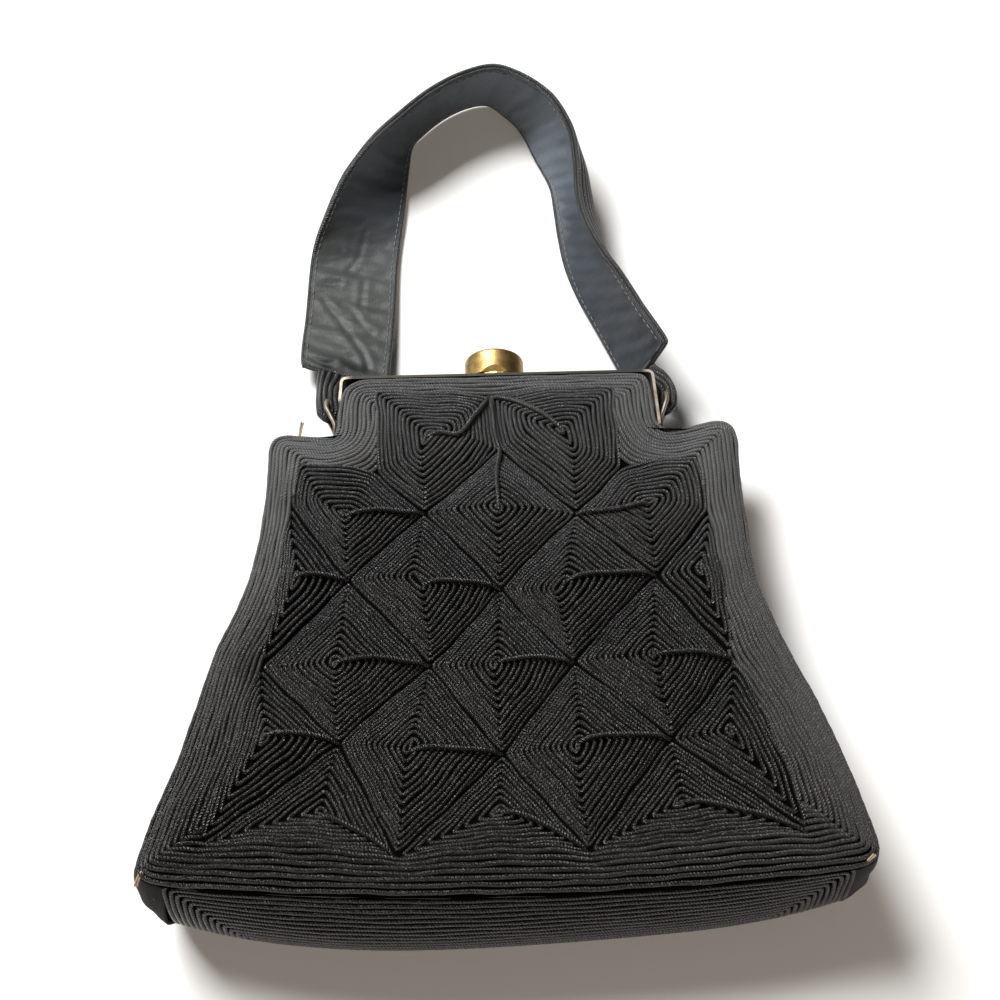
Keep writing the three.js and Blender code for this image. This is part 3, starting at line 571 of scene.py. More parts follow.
class Value:
    """A value in a material. Sums on it add nodes."""

    def __init__(self, finish, socket):
        self.finish = finish
        self.socket = socket

    def math(self, operation, first, second=0.0):
        return self.finish.add("ShaderNodeMath", {"operation": operation}, {0: first, 1: second})

    def __add__(self, other):
        return self.math("ADD", self, other)

    def __radd__(self, other):
        return self.math("ADD", other, self)

    def __sub__(self, other):
        return self.math("SUBTRACT", self, other)

    def __rsub__(self, other):
        return self.math("SUBTRACT", other, self)

    def __mul__(self, other):
        return self.math("MULTIPLY", self, other)

    def sine(self):
        return self.math("SINE", self)

    def floor(self):
        return self.math("FLOOR", self)

    def size(self):
        return self.math("ABSOLUTE", self)

    def between(self, low, high):
        """0 up to low, 1 from high on, and a smooth step from one to the other."""
        return self.finish.add(
            "ShaderNodeMapRange", {"interpolation_type": "SMOOTHSTEP"}, {0: self, 1: low, 2: high}
        )


class Finish:
    """A material on the Principled shader. Constants are set on its sockets."""

    def __init__(self, name, constants):
        self.material = bpy.data.materials.new(name)
        self.material.use_nodes = True
        self.nodes = self.material.node_tree.nodes
        self.shader = self.nodes["Principled BSDF"]
        self.set(self.shader, constants)
        self.place = self.add("ShaderNodeTexCoord", {}, {}, "Object")

    def set(self, node, sockets):
        for key, value in sockets.items():
            socket = node.inputs[key]
            if isinstance(value, Value):
                self.material.node_tree.links.new(value.socket, socket)
            elif isinstance(value, tuple) and socket.type == "RGBA":
                socket.default_value = (*value, 1.0)
            else:
                socket.default_value = value

    def add(self, kind, settings, sockets, output=0):
        node = self.nodes.new(kind)
        for key, value in settings.items():
            setattr(node, key, value)
        self.set(node, sockets)
        return Value(self, node.outputs[output])

    def parts(self, vector):
        node = self.nodes.new("ShaderNodeSeparateXYZ")
        self.set(node, {0: vector})
        return [Value(self, output) for output in node.outputs]

    def route(self):
        return self.parts(self.add("ShaderNodeUVMap", {"uv_map": "route"}, {}))[:2]

    def joined(self, x, y):
        return self.add("ShaderNodeCombineXYZ", {}, {0: x, 1: y})

    def stretched(self, vector, by):
        return self.add("ShaderNodeVectorMath", {"operation": "MULTIPLY"}, {0: vector, 1: by})

    def noise(self, size, detail=2.0, where=None):
        """Blotches about size millimetres across, from 0 to 1. where may be a place in millimetres."""
        scale = 1 / size if where else 1 / (size * MM)
        sockets = {"Vector": where or self.place, "Scale": scale, "Detail": detail}
        return self.add("ShaderNodeTexNoise", {}, sockets)

    def chance(self, value):
        return self.add("ShaderNodeTexWhiteNoise", {"noise_dimensions": "1D"}, {"W": value})

    def mixed(self, share, first, second):
        return self.add("ShaderNodeMix", {"data_type": "RGBA"}, {0: share, 6: first, 7: second}, 2)

    def bump(self, height, distance):
        sockets = {"Height": height, "Distance": distance * MM, "Strength": 1.0}
        return self.add("ShaderNodeBump", {}, sockets, "Normal")


TWO_PI = 2 * math.pi
STRANDS = 3
STRAND_LAY = 3.5  # length of cord for one turn of its strands
LINT = (0.26, 0.25, 0.23)


def cord_finish(name, faded, low, high):
    """Black gimp. faded is how far it has greyed from high up, less and less down to low, in metres."""
    finish = Finish(name, {
        "Specular IOR Level": 0.66,
        "Sheen Weight": 0.01 + 0.04 * faded,
        "Sheen Roughness": 0.35,
        "Sheen Tint": (1.0, 0.95, 0.86),
    })
    along, around = finish.route()
    x, y, _ = finish.parts(finish.place)
    fibre = finish.noise(0.42, 2.0)
    uneven_lay = finish.noise(3.0, 2.0)
    turning = around * STRANDS + along * (STRANDS / STRAND_LAY) + uneven_lay * 1.2
    strand = (turning * TWO_PI).sine() * 0.5 + 0.5
    wear = finish.noise(38, 3.0)
    own = finish.chance(around.floor())
    ridge = finish.mixed(y.between(-0.08, 0.10), (0.0060, 0.0047, 0.0036), (0.0060, 0.0063, 0.0070))
    grey = finish.mixed(y.between(-0.02, 0.13), (0.068, 0.064, 0.058), (0.138, 0.142, 0.143))
    fading = (y + x * 0.35).between(low, high) * faded * (wear.between(0.2, 0.75) * 0.45 + 0.55)
    ridge = finish.mixed(fading, ridge, grey)
    # Painted shade: the grooves between the strands are painted darker than the cord's ridges; the same mix
    # also carries random tone from the fibres, each cord and wear.
    groove_shade = finish.mixed(fading, (0.0015, 0.0015, 0.0015), (0.028, 0.028, 0.028))
    shade_and_tone = strand * 0.8 + fibre * 0.5 + own * 0.2 + wear * 0.3 - 0.4
    colour = finish.mixed(shade_and_tone.between(-0.1, 1.0), groove_shade, ridge)
    lint = finish.noise(1.1, 1.0).between(0.70, 0.76) * finish.noise(22, 2.0).between(0.5, 0.66)
    colour = finish.mixed(lint * 0.55, colour, LINT)
    finish.set(finish.shader, {
        "Base Color": colour,
        "Roughness": 0.2 + fibre * 0.14 + wear * 0.08 + fading * 0.16,
        "Normal": finish.bump(strand * 0.8 + fibre * 0.8, 0.34),
    })
    return finish.material


WEAVE_COUNT = 2.0  # threads to a millimetre


def cloth_finish():
    finish = Finish("black_cloth", {
        "Specular IOR Level": 0.15,
        "Sheen Weight": 0.02,
        "Sheen Roughness": 0.5,
    })
    x, y, z = finish.parts(finish.place)
    turn = WEAVE_COUNT * math.pi / MM
    weave = ((x + z) * turn).sine() * ((y + z) * turn).sine()
    wear = finish.noise(26, 3.0)
    colour = finish.mixed(wear, (0.006, 0.006, 0.0062), (0.016, 0.0155, 0.015))
    dust = finish.noise(0.9, 1.0).between(0.72, 0.77) * finish.noise(18, 2.0).between(0.52, 0.68)
    colour = finish.mixed(dust * 0.5, colour, LINT)
    finish.set(finish.shader, {
        "Base Color": colour,
        "Roughness": 0.62 + wear * 0.2,
        "Normal": finish.bump(weave * 0.5 + finish.noise(0.7, 2.0), 0.1),
    })
    return finish.material


HOLE = {"along": 11.6, "across": 17.8}


def leather_finish():
    """The strap's lining: dark, with painted shade across its left end and painted light round the top of
    its loop, worn through in one place at its left end, bluer further along.
    """
    finish = Finish("lining_leather", {"Specular IOR Level": 0.3})
    along, across = finish.route()
    where = finish.joined(along, across)
    folds = finish.noise(16, 3.0, finish.joined(along, across * 0.5))
    grain = finish.noise(0.9, 3.0, where)
    wear = finish.noise(34, 4.0, where)
    scuff = finish.noise(4, 4.0, where).between(0.58, 0.75)
    further = along.between(30, 120)
    dark = finish.mixed(further, (0.040, 0.043, 0.041), (0.034, 0.041, 0.050))
    light = finish.mixed(further, (0.061, 0.065, 0.062), (0.051, 0.060, 0.070))
    colour = finish.mixed(wear.between(0.3, 0.7), dark, light)
    # Painted light: the top mask lightens the lining round the top of the strap's loop.
    top = along.between(130, 190) * (1 - along.between(215, 265))
    right = along.between(225, 290)
    colour = finish.mixed(top * 0.8, colour, (0.165, 0.194, 0.226))
    colour = finish.mixed(right * 0.5, colour, (0.026, 0.032, 0.041))
    colour = finish.mixed(scuff * 0.35, colour, (0.095, 0.10, 0.096))
    # Painted shade: the end mask darkens the lining nearly to black across its left end.
    end = (1 - along.between(4, 11)) * across.between(7, 12) * (1 - across.between(28, 33))
    colour = finish.mixed(end * 0.9, colour, (0.009, 0.009, 0.010))
    from_hole = (along - HOLE["along"]).size() + (across - HOLE["across"]).size() * 0.6 + grain * 2.4
    colour = finish.mixed((1 - from_hole.between(2.4, 3.6)) * 0.85, colour, (0.010, 0.009, 0.008))
    finish.set(finish.shader, {
        "Base Color": colour,
        "Roughness": 0.42 + wear * 0.16 + scuff * 0.16 + right * 0.1,
        "Normal": finish.bump(folds * 2.2 + grain * 0.12, 0.9),
    })
    return finish.material


def brass_finish():
    finish = Finish("clasp_brass", {"Metallic": 1.0, "Specular IOR Level": 0.5})
    tarnish = finish.noise(4.5, 5.0)
    patch = finish.noise(11, 3.0)
    streak = finish.noise(1.0, 3.0, finish.stretched(finish.place, (2200.0, 250.0, 250.0)))
    speck = finish.noise(0.8, 2.0).between(0.68, 0.74)
    colour = finish.mixed(tarnish.between(0.38, 0.66), (0.62, 0.43, 0.165), (0.40, 0.255, 0.085))
    colour = finish.mixed(patch.between(0.48, 0.72) * 0.7, colour, (0.24, 0.15, 0.05))
    colour = finish.mixed(speck * 0.75, colour, (0.045, 0.035, 0.02))
    finish.set(finish.shader, {
        "Base Color": colour,
        "Roughness": 0.36 + tarnish * 0.2 + speck * 0.3,
        "Normal": finish.bump(streak + patch * 0.6, 0.05),
    })
    return finish.material


def gilt_finish():
    finish = Finish("frame_metal", {"Metallic": 1.0, "Specular IOR Level": 0.5})
    x, y, _ = finish.parts(finish.place)
    wear = finish.noise(6, 4.0)
    speck = finish.noise(1.0, 2.0).between(0.66, 0.74)
    pale = finish.mixed(wear.between(0.42, 0.64), (0.36, 0.32, 0.27), (0.24, 0.19, 0.14))
    # Painted shade: the top strip is painted a darker metal than the side strips, and the lower part of the
    # left side strip nearly black; the pale colour carries the metal's wear.
    shaded_left_strip = (1 - x.between(-0.02, 0)) * (1 - y.between(0.1215, 0.1255)) * x.between(-0.0680, -0.0674)
    side = x.size().between(0.060, 0.064) * (1 - shaded_left_strip)
    colour = finish.mixed(side, (0.05, 0.046, 0.038), pale)
    colour = finish.mixed(shaded_left_strip, colour, (0.012, 0.011, 0.010))
    colour = finish.mixed(speck * 0.6, colour, (0.08, 0.065, 0.045))
    finish.set(finish.shader, {
        "Base Color": colour,
        "Roughness": 0.46 + wear * 0.2,
        "Normal": finish.bump(wear, 0.04),
    })
    return finish.material


def plain_finish(name, colour, roughness, shine=0.4):
    finish = Finish(name, {"Specular IOR Level": shine})
    blotch = finish.noise(2.0, 3.0)
    darker = tuple(0.6 * part for part in colour)
    finish.set(finish.shader, {
        "Base Color": finish.mixed(blotch, darker, colour),
        "Roughness": roughness + blotch * 0.1,
    })
    return finish.material


cord_black = cord_finish("black_cord", 0.45, 0.03, 0.14)
cord_faded = cord_finish("faded_cord", 1.0, -0.085, 0.055)
cloth_black = cloth_finish()
# Backing cloth under the cords: black, and partly painted shade, being painted darker and duller than the
# gussets' cloth to stand for the shade in the grooves between the cords.
ground_cloth_shaded = plain_finish("ground_cloth_shaded", (0.0015, 0.0015, 0.0015), 0.9, 0.03)
leather = leather_finish()
brass = brass_finish()
gilt = gilt_finish()
thread_grey = plain_finish("thread_grey", (0.19, 0.195, 0.19), 0.6)
thread_tan = plain_finish("thread_tan", (0.52, 0.38, 0.26), 0.7)


def given(piece, slot, *nodes, body="bag"):
    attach(piece, body)
    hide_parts(*nodes)
    return piece


# The panels' cords

WAVER = {"wide": 0.16, "fine": 0.09, "ends": 6.0}


def jittered(line, number):
    """Each cord's own small waver, none at its ends."""
    along = lengths_along(line)
    free = smoothstep(along / WAVER["ends"]) * smoothstep((along[-1] - along) / WAVER["ends"])
    wide = WAVER["wide"] * np.sin(along / 6.3 + 2.4 * number)
    fine = WAVER["fine"] * np.sin(along / 2.9 + 1.1 * number)
    return line + leftward(unit(np.gradient(line, axis=0))) * (free * (wide + fine))[:, None]


# Insets from a seam, in the plan and measured over the padding
DEEPEST_INSET = 45.0
plan_insets = np.linspace(0, DEEPEST_INSET, 901)
puff_slopes = np.gradient(puffed(plan_insets), plan_insets) * FRONT_PUFF
surface_insets = np.concatenate([[0], np.cumsum(np.hypot(1, puff_slopes[:-1]) * np.diff(plan_insets))])


SEARCH = {"rounds": 4, "spots": 41, "narrowing": 12}


def cell_middle(normals, reach, corners, over_padding):
    """The place in a cell that is furthest in from its walls over its padding, and how far that is."""
    low, high = corners.min(axis=0), corners.max(axis=0)
    for _ in range(SEARCH["rounds"]):
        x, up = np.meshgrid(*np.linspace(low, high, SEARCH["spots"]).T)
        spots = np.column_stack([x.ravel(), up.ravel()])
        room = np.min(over_padding(reach - spots @ normals.T), axis=1)
        best = spots[np.argmax(room)]
        span = (high - low) / SEARCH["narrowing"]
        low, high = best - span, best + span
    return best, room.max()


def cell_routes(names, spiral_middle, stem):
    """A cell's spiral cord, from its seams in to its middle, and its stem, or None."""
    corners = np.array([SEAM_NODES[name] for name in names.split()], float)
    normals, reach = cell_walls(names)
    quilted = np.array([ends in quilted_seams for ends in wall_ends(names)])

    def over_padding(insets):
        return np.where(quilted, np.interp(insets, plan_insets, surface_insets), insets)

    def in_plan(insets):
        return np.where(quilted, np.interp(insets, surface_insets, plan_insets), insets)

    middle, widest = cell_middle(normals, reach, corners, over_padding)
    shift = np.array(spiral_middle) - middle
    ends = [np.array(SEAM_NODES[name], float) for name in stem.split()]
    run = ends[0] - middle - shift if ends else np.array([1.0, 0.0])
    start = math.atan2(run[1], run[0])
    rows = widest / CELL_PITCH
    turns = np.arange(-SPIRAL_LEAD, rows, 1 / TURN_POINTS)
    jog = np.where(turns < 0, 1, rising(turns % 1, *SPIRAL_JOG))
    spiralling = np.clip((turns - rows) / SPIRAL_TURNS + 1, 0, 1)
    stepped = SPIRAL_EDGE + np.floor(turns) + jog * (1 - spiralling)
    inward = CELL_PITCH * (stepped + (turns % 1) * spiralling)
    kept = inward < widest - SPIRAL_ROOM * CELL_PITCH
    inward = inward[kept][:, None]
    angle = start + TWO_PI * turns[kept]
    ways = np.column_stack([np.cos(angle), np.sin(angle)])
    facing = ways @ normals.T
    room = (reach - normals @ middle)[None, :] - in_plan(inward)
    radius = np.where(facing > 1e-6, room / np.maximum(facing, 1e-6), np.inf).min(axis=1)
    line = middle + shift * SPIRAL_SHIFT * inward / widest + radius[:, None] * ways
    course = resampled(np.column_stack([line, ROUTE_STEP * inward / widest]), ROUTE_STEP)
    share = course[:, 2:] / ROUTE_STEP
    sharp = softened(course[:, :2], CORNER_SOFTNESS)
    rounder = softened(course[:, :2], MIDDLE_SOFTNESS)
    spiral = sharp * (1 - share) + rounder * share
    first = spiral[-1]
    last_turn = line[turns[kept] > turns[kept][-1] - 1]
    far = last_turn[np.argmax(np.linalg.norm(last_turn - first, axis=1))]
    if np.linalg.norm(far - first) > LONGEST_CENTRE:
        spiral = np.vstack([spiral, np.linspace(first, far, 8)[1:-1]])
    if not ends:
        return spiral, None
    aside = np.array([-run[1], run[0]]) * STEM_BOW
    points = [first, first + (ends[0] - first) * STEM_BEND + aside] + ends
    return spiral, resampled(through(points), 1.0)


def border_routes():
    """The rows that follow the outline, cut off where the cells begin."""
    beside = rising(outline[:, 1:], *SIDE_PITCH_UP)
    beside = softened(beside, SIDE_PITCH_SOFTNESS, closed=True)[:, 0]
    pitch = CORD_PITCH + (SIDE_PITCH - CORD_PITCH) * beside
    routes = []
    for row in range(BORDER_ROWS):
        offset = (row + 0.5) * pitch
        line = outline + offset[:, None] * outline_inward
        line = line[distance_to(line, outline, every=1) > offset - ROW_SLACK]
        line = resampled(np.vstack([line, line[:1]]), ROUTE_STEP)[:-1]
        line = np.roll(softened(line, MIDDLE_SOFTNESS, closed=True), row * ROW_START, axis=0)
        routes += stretches(line, inside_cells(line) < BORDER_OVERLAP * CELL_PITCH)
    return routes


def stretches(line, kept):
    """The unbroken stretches of a closed line's kept points."""
    if kept.all():
        return [np.vstack([line, line[:1]])]
    first = int(np.argmin(kept))
    line, kept = np.roll(line, -first, axis=0), np.roll(kept, -first)
    changes = np.flatnonzero(np.diff(np.concatenate([[False], kept, [False]]).astype(int)))
    found = []
    for a, b in zip(changes[::2], changes[1::2]):
        shortest = SHORTEST_FILL if line[a, 1] > SHORT_ABOVE else SHORTEST_STRETCH
        if b - a > shortest:
            found.append(line[a:b])
    return found


def rim_route():
    """The cord along the edge that the panel shares with the gussets and the base."""
    line = outline + outline_inward * RIM_INSET * CORD_PITCH
    above = line[:, 1] > NOTCH["up"] - RIM_GAP["below"]
    neck = above & (np.abs(line[:, 0]) < NOTCH["half"] + RIM_GAP["beside"])
    return stretches(line, ~neck)


cell_lines = [cell_routes(*cell) for cell in CELLS]
border_lines = border_routes()
rim_lines = rim_route()
PANEL_SIDES = {"front": 1, "back": -1}


def panel_cords(side_name):
    side = PANEL_SIDES[side_name]
    node = side_name + "_panel"

    def lying(lines, sink):
        wavering = [thinned(jittered(line, number)) for number, line in enumerate(lines)]
        return [on_panel(line, side, sink) for line in wavering]

    spiral_routes = lying([spiral for spiral, _ in cell_lines], CORD_SINK)
    spirals = cords(side_name + "_spirals", spiral_routes, CELL_CORD_RADIUS, cord_black)
    row_routes = lying(border_lines, CORD_SINK) + lying(rim_lines, RIM_SINK)
    rows = cords(side_name + "_border", row_routes, CORD_RADIUS, cord_faded)
    stems = []
    for _, stem in cell_lines:
        if stem is None:
            continue
        places, normals = on_panel(stem, side, 0)
        share = np.linspace(0, 1, len(stem))
        ends = np.minimum(smoothstep(share / STEM_ENDS), smoothstep((1 - share) / STEM_ENDS))
        lift = (STEM_LIFT + CORD_SINK) * ends - CORD_SINK - STEM_SETTLE
        if side < 0:
            lift = np.minimum(lift, CELL_CORD_RADIUS - CORD_SINK - STEM_RADIUS)
        stems.append((places + lift[:, None] * normals, normals))
    stem_cords = cords(side_name + "_stems", stems, STEM_RADIUS, cord_black)
    for piece in (spirals, rows, stem_cords):
        given(piece, "black_cord", node)


GROUND_INSET = 0.6
# Rows of the padded cloth's grid, from and to, and how many
GROUND_FOOT = (0.1, 8.0, 12)
GROUND_BODY_FROM = 10.0
GROUND_BODY_ROWS = 72
GROUND_NECK_ROWS = 24
GROUND_COLUMNS = 97
# The notches' part of the outline: how far below the hinge it starts, and how far in from the shoulder
NOTCH_PART = {"below": 20.0, "within": 10.0}


def edge_at(up, end):
    """Where a panel's left or right edge is, at a height, just inside its cords."""
    edge = edges[end]
    crossing = np.flatnonzero((edge[:-1, 1] <= up) & (edge[1:, 1] >= up))
    return edge[crossing[-1], 0] - end * GROUND_INSET if len(crossing) else end * NECK_MIDDLE[0]


def panel_ground(side_name):
    """The padded cloth that the cords are sewn to."""
    side = PANEL_SIDES[side_name]
    high = outline[:, 1] > HINGE_UP - NOTCH_PART["below"]
    notches = high & (np.abs(outline[:, 0]) < SHOULDER["half"] - NOTCH_PART["within"])
    notch_up = outline[notches, 1].min()
    ups = np.concatenate([
        np.linspace(*GROUND_FOOT),
        np.linspace(GROUND_BODY_FROM, notch_up - 0.2, GROUND_BODY_ROWS),
        np.linspace(notch_up + 0.1, NECK_MIDDLE[1], GROUND_NECK_ROWS),
    ])
    grid = []
    for up in ups:
        row = np.linspace(edge_at(up, -1), edge_at(up, 1), GROUND_COLUMNS)
        grid.append(np.column_stack([row, np.full(GROUND_COLUMNS, up)]))
    grid = np.array(grid)
    flat = grid.reshape(-1, 2)
    outer, _ = on_panel(flat, side, CORD_SINK + GROUND_SINK)
    inner, _ = on_panel(flat, side, PANEL_WALL)
    shape = grid.shape[:2] + (3,)
    outer, inner = outer.reshape(shape), inner.reshape(shape)
    if side < 0:
        outer, inner = outer[:, ::-1], inner[:, ::-1]
    ground = shell(side_name + "_ground", outer, inner, ground_cloth_shaded)
    given(ground, "black_cloth", side_name + "_panel")


for side_name in PANEL_SIDES:
    panel_cords(side_name)
    panel_ground(side_name)


# The base

BASE_RIM = half_depth(0) - PANEL_WALL - SEAM_GAP
BASE_GRID = {"columns": 90, "rows": 25}


def base_up(x, depth):
    loss = np.where(x < 0, BASE_BULGE_LOSS["left"], BASE_BULGE_LOSS["right"])
    flatter = 1 - BASE_RIGHT_LOSS * rising(x, *BASE_RIGHT_FROM)
    bulge = BASE_BULGE * flatter * (1 - loss * (x / BASE_HALF) ** 4)
    return base_edge(x) + SEAM_INSET - bulge * (1 - (depth / BASE_RIM) ** 2)


def on_base(points, sink):
    """Points given as x and depth on the base, and its outward normals there, both laid."""
    x, depth = points.T
    slope_x, slope_depth = slopes(base_up, x, depth)
    normals = unit(np.column_stack([slope_x, -np.ones(len(x)), slope_depth]))
    places = np.column_stack([x, base_up(x, depth), depth]) - sink * normals
    return laid(places), normals @ LAID_TURN.T


base_shares = np.linspace(-1, 1, 401)
base_arc = lengths_along(np.column_stack([base_shares * BASE_RIM, BASE_BULGE * base_shares ** 2]))
BASE_ARC_HALF = base_arc[-1] / 2


def base_place(points):
    """Points given as x and the way round the bulge from its middle, as x and depth."""
    depth = np.interp(points[:, 1] + BASE_ARC_HALF, base_arc, base_shares * BASE_RIM)
    return np.column_stack([points[:, 0], depth])


def base_cords():
    routes = []
    for row in range(int(BASE_ARC_HALF / CORD_PITCH)):
        inner = (row + 0.5) * CORD_PITCH
        half, rim = BASE_CORD_HALF + BASE_CORD_COVER - inner, BASE_ARC_HALF - inner
        corners = np.array([(-half, -rim), (half, -rim), (half, rim), (-half, rim), (-half, -rim)])
        line = softened(resampled(corners, ROUTE_STEP)[:-1], MIDDLE_SOFTNESS, closed=True)
        line = thinned(jittered(np.vstack([line, line[:1]]), row))
        routes.append(on_base(base_place(line), CORD_SINK))
    given(cords("base_rows", routes, CORD_RADIUS, cord_black), "black_cord", "base_panel")
    columns = np.linspace(-BASE_CORD_HALF, BASE_CORD_HALF, BASE_GRID["columns"])
    rows = np.linspace(-BASE_RIM, BASE_RIM, BASE_GRID["rows"])
    x, depth = np.meshgrid(columns, rows)
    flat = np.column_stack([x.ravel(), depth.ravel()])
    outer = on_base(flat, CORD_SINK + GROUND_SINK)[0].reshape(*x.shape, 3)
    inner = on_base(flat, BASE_WALL)[0].reshape(*x.shape, 3)
    ground = given(shell("base_ground", outer, inner, ground_cloth_shaded), "black_cloth", "base_panel")


base_cords()


# The gussets: cloth sides that fold in between the panels

GUSSET_START = BASE_CORD_HALF + 0.3
GUSSET_END = {"half": 70.3, "above": 108.5}
GUSSET_NORMAL_REACH = 13.0
GUSSET_GRID = {"columns": 150, "rows": 33}
GUSSET_WRINKLE = {"waves": 0.55, "ripples": 0.3}


def gusset(name, side):
    edge = edges[side] * [side, 1]
    count = int(GUSSET_NORMAL_REACH / ROUTE_STEP)
    started = int(np.argmax(edge[:, 0] >= GUSSET_START))
    ended = int(np.argmax((edge[:, 1] > GUSSET_END["above"]) & (edge[:, 0] < GUSSET_END["half"])))
    index = np.unique(np.linspace(started, ended, GUSSET_GRID["columns"]).astype(int))
    run = unit(edge[np.minimum(index + count, ended)] - edge[np.maximum(index - count, started)])
    inward = leftward(run)
    along = np.linspace(0, 1, len(index))
    fold = np.interp(along, *zip(*GUSSET_FOLDS[side]))
    across = np.linspace(-1, 1, GUSSET_GRID["rows"])[:, None]
    length = lengths_along(edge[index])[None, :]
    waves = np.sin(length * 0.11 + 2.6 * across)
    waves = waves + 0.7 * np.sin(length * 0.23 - 3.4 * across + 1.3 * side)
    ripples = np.sin(length * 0.52 + 4.1 * np.sin(2.2 * across) + side)
    wrinkle = GUSSET_WRINKLE["waves"] * waves + GUSSET_WRINKLE["ripples"] * ripples
    wrinkle = wrinkle * (1 - across ** 2)
    rim = half_depth(edge[index, 1])[None, :] - PANEL_WALL - SEAM_GAP

    def layer(deeper):
        inset_by = SEAM_INSET + fold[None, :] * (1 - across ** 2) + wrinkle + deeper
        flat = edge[index][None, :, :] + inward[None, :, :] * inset_by[:, :, None]
        spots = np.concatenate([flat * [side, 1], (across * rim)[:, :, None]], axis=2)
        return spots if side > 0 else spots[:, ::-1]

    outer, inner = layer(0), layer(GUSSET_WALL)
    cloth = shell(name, laid(outer), laid(inner), cloth_black)
    given(cloth, "black_cloth", name)
    cut_length = length[0, -1] * MM
    cut_width = 2 * BASE_RIM * MM
    0.75 * cut_width * cut_length


for end, side in ENDS.items():
    gusset("gusset_" + end, side)


# The strap

def centripetal(points, shares):
    """Places on the smooth line through points, at shares of their number."""
    points = np.array(points, float)
    points = np.vstack([2 * points[0] - points[1], points, 2 * points[-1] - points[-2]])
    at = np.clip(shares, 0, 1) * (len(points) - 3)
    first = np.minimum(at.astype(int), len(points) - 4)
    t = (at - first)[:, None]
    before, a, b, after = (points[first + k] for k in range(4))
    middle_span = np.sqrt(np.linalg.norm(b - a, axis=1, keepdims=True))
    middle_span = np.where(middle_span < 1e-4, 1, middle_span)
    early = np.sqrt(np.linalg.norm(a - before, axis=1, keepdims=True))
    early = np.where(early < 1e-4, middle_span, early)
    late = np.sqrt(np.linalg.norm(after - b, axis=1, keepdims=True))
    late = np.where(late < 1e-4, middle_span, late)
    leave = ((a - before) / early - (b - before) / (early + middle_span)) * middle_span + b - a
    arrive = ((after - b) / late - (after - a) / (middle_span + late)) * middle_span + b - a
    curve = 2 * a - 2 * b + leave + arrive
    return ((curve * t + 3 * b - 3 * a - 2 * leave - arrive) * t + leave) * t + a


strap_rows = np.array(STRAP, float)
heading, rise = np.radians(strap_rows[:, 3:5].T)
level = np.cos(rise)
strap_reaches = np.column_stack([level * np.cos(heading), level * np.sin(heading), np.sin(rise)])
strap_curls = np.radians(strap_rows[:, 5:6])


def strap_sections(shares, columns):
    """Points across the strap at shares of its length, and the way its lining faces at each."""
    spot = centripetal(strap_rows[:, :3], shares)
    step = 1e-4
    ahead = centripetal(strap_rows[:, :3], np.minimum(shares + step, 1))
    behind = centripetal(strap_rows[:, :3], np.maximum(shares - step, 0))
    reach = unit(centripetal(strap_reaches, shares))
    facing = unit(np.cross(ahead - behind, reach))
    curl = centripetal(strap_curls, shares)
    spots, facings = [], []
    for column in range(columns + 1):
        slope = curl * (column / columns - 0.5)
        spots.append(spot)
        facings.append(facing * np.cos(slope) - reach * np.sin(slope))
        slope = curl * ((column + 0.5) / columns - 0.5)
        spot = spot + (reach * np.cos(slope) + facing * np.sin(slope)) * (STRAP_WIDTH / columns)
    return np.stack(spots, axis=1), np.stack(facings, axis=1)


STRAP_COLUMNS = 39
STRAP_STEP = 1.0
STRAP_CORNER = 3.0


def even_shares():
    """Shares of the strap that are evenly far apart along its middle."""
    shares = np.linspace(0, 1, 800)
    spots, _ = strap_sections(shares, 8)
    along = lengths_along(spots[:, 4])
    return np.interp(np.arange(0, along[-1], STRAP_STEP), along, shares), along[-1]


strap_shares, strap_length = even_shares()
strap_spots, strap_facings = strap_sections(strap_shares, STRAP_COLUMNS)


def strap_line(across, height):
    """A line along the strap, at a distance across it and a height over the lining's underside."""
    at = np.clip(across / STRAP_WIDTH, 0, 1) * STRAP_COLUMNS
    column = min(int(at), STRAP_COLUMNS - 1)
    part = at - column
    spots = strap_spots[:, column] * (1 - part) + strap_spots[:, column + 1] * part
    facings = unit(strap_facings[:, column] * (1 - part) + strap_facings[:, column + 1] * part)
    outermost = -1 if at > 1 else 1
    edge = unit(strap_spots[:, outermost] - strap_spots[:, outermost - 1])
    beyond = across - np.clip(across, 0, STRAP_WIDTH)
    return spots + facings * height + edge * beyond, facings


# Creases at the strap's left end: places as the way along the strap and across it, and how deep
CREASES = [
    ([(40, 32), (32, 26), (21, 18.4), (12, 11.7), (6, 9.2)], 0.42),
    ([(37.8, 24), (34, 18.3), (28.7, 15.4), (23, 9.1)], 0.32),
    ([(48.5, 35.5), (49, 25)], 0.28),
    ([(49, 14.6), (36.6, 15)], 0.25),
    ([(6, 37.7), (3.7, 29.5), (6, 24)], 0.4),
    ([(74, 17), (62, 18), (56, 22)], 0.25),
]
CREASE_STEP = 0.2
CREASE_WIDTH = 1.1
CREASE_RIDGE = {"from": 2.6, "width": 1.6, "share": 0.6}  # the raised leather beside a crease
FLAT_EDGE = 6.0  # how far in from its edges the lining lies flatter


def creased(along, across):
    """How far the lining is raised or sunk by its creases."""
    shape = np.broadcast_shapes(along.shape, across.shape)
    spots = np.stack(np.broadcast_arrays(along, across), axis=2).reshape(-1, 2)
    height = np.zeros(len(spots))
    for points, deep in CREASES:
        gap = distance_to(spots, resampled(through(points), CREASE_STEP))
        ridge = np.exp(-((gap - CREASE_RIDGE["from"]) / CREASE_RIDGE["width"]) ** 2)
        height += deep * (CREASE_RIDGE["share"] * ridge - np.exp(-(gap / CREASE_WIDTH) ** 2))
    return height.reshape(shape)


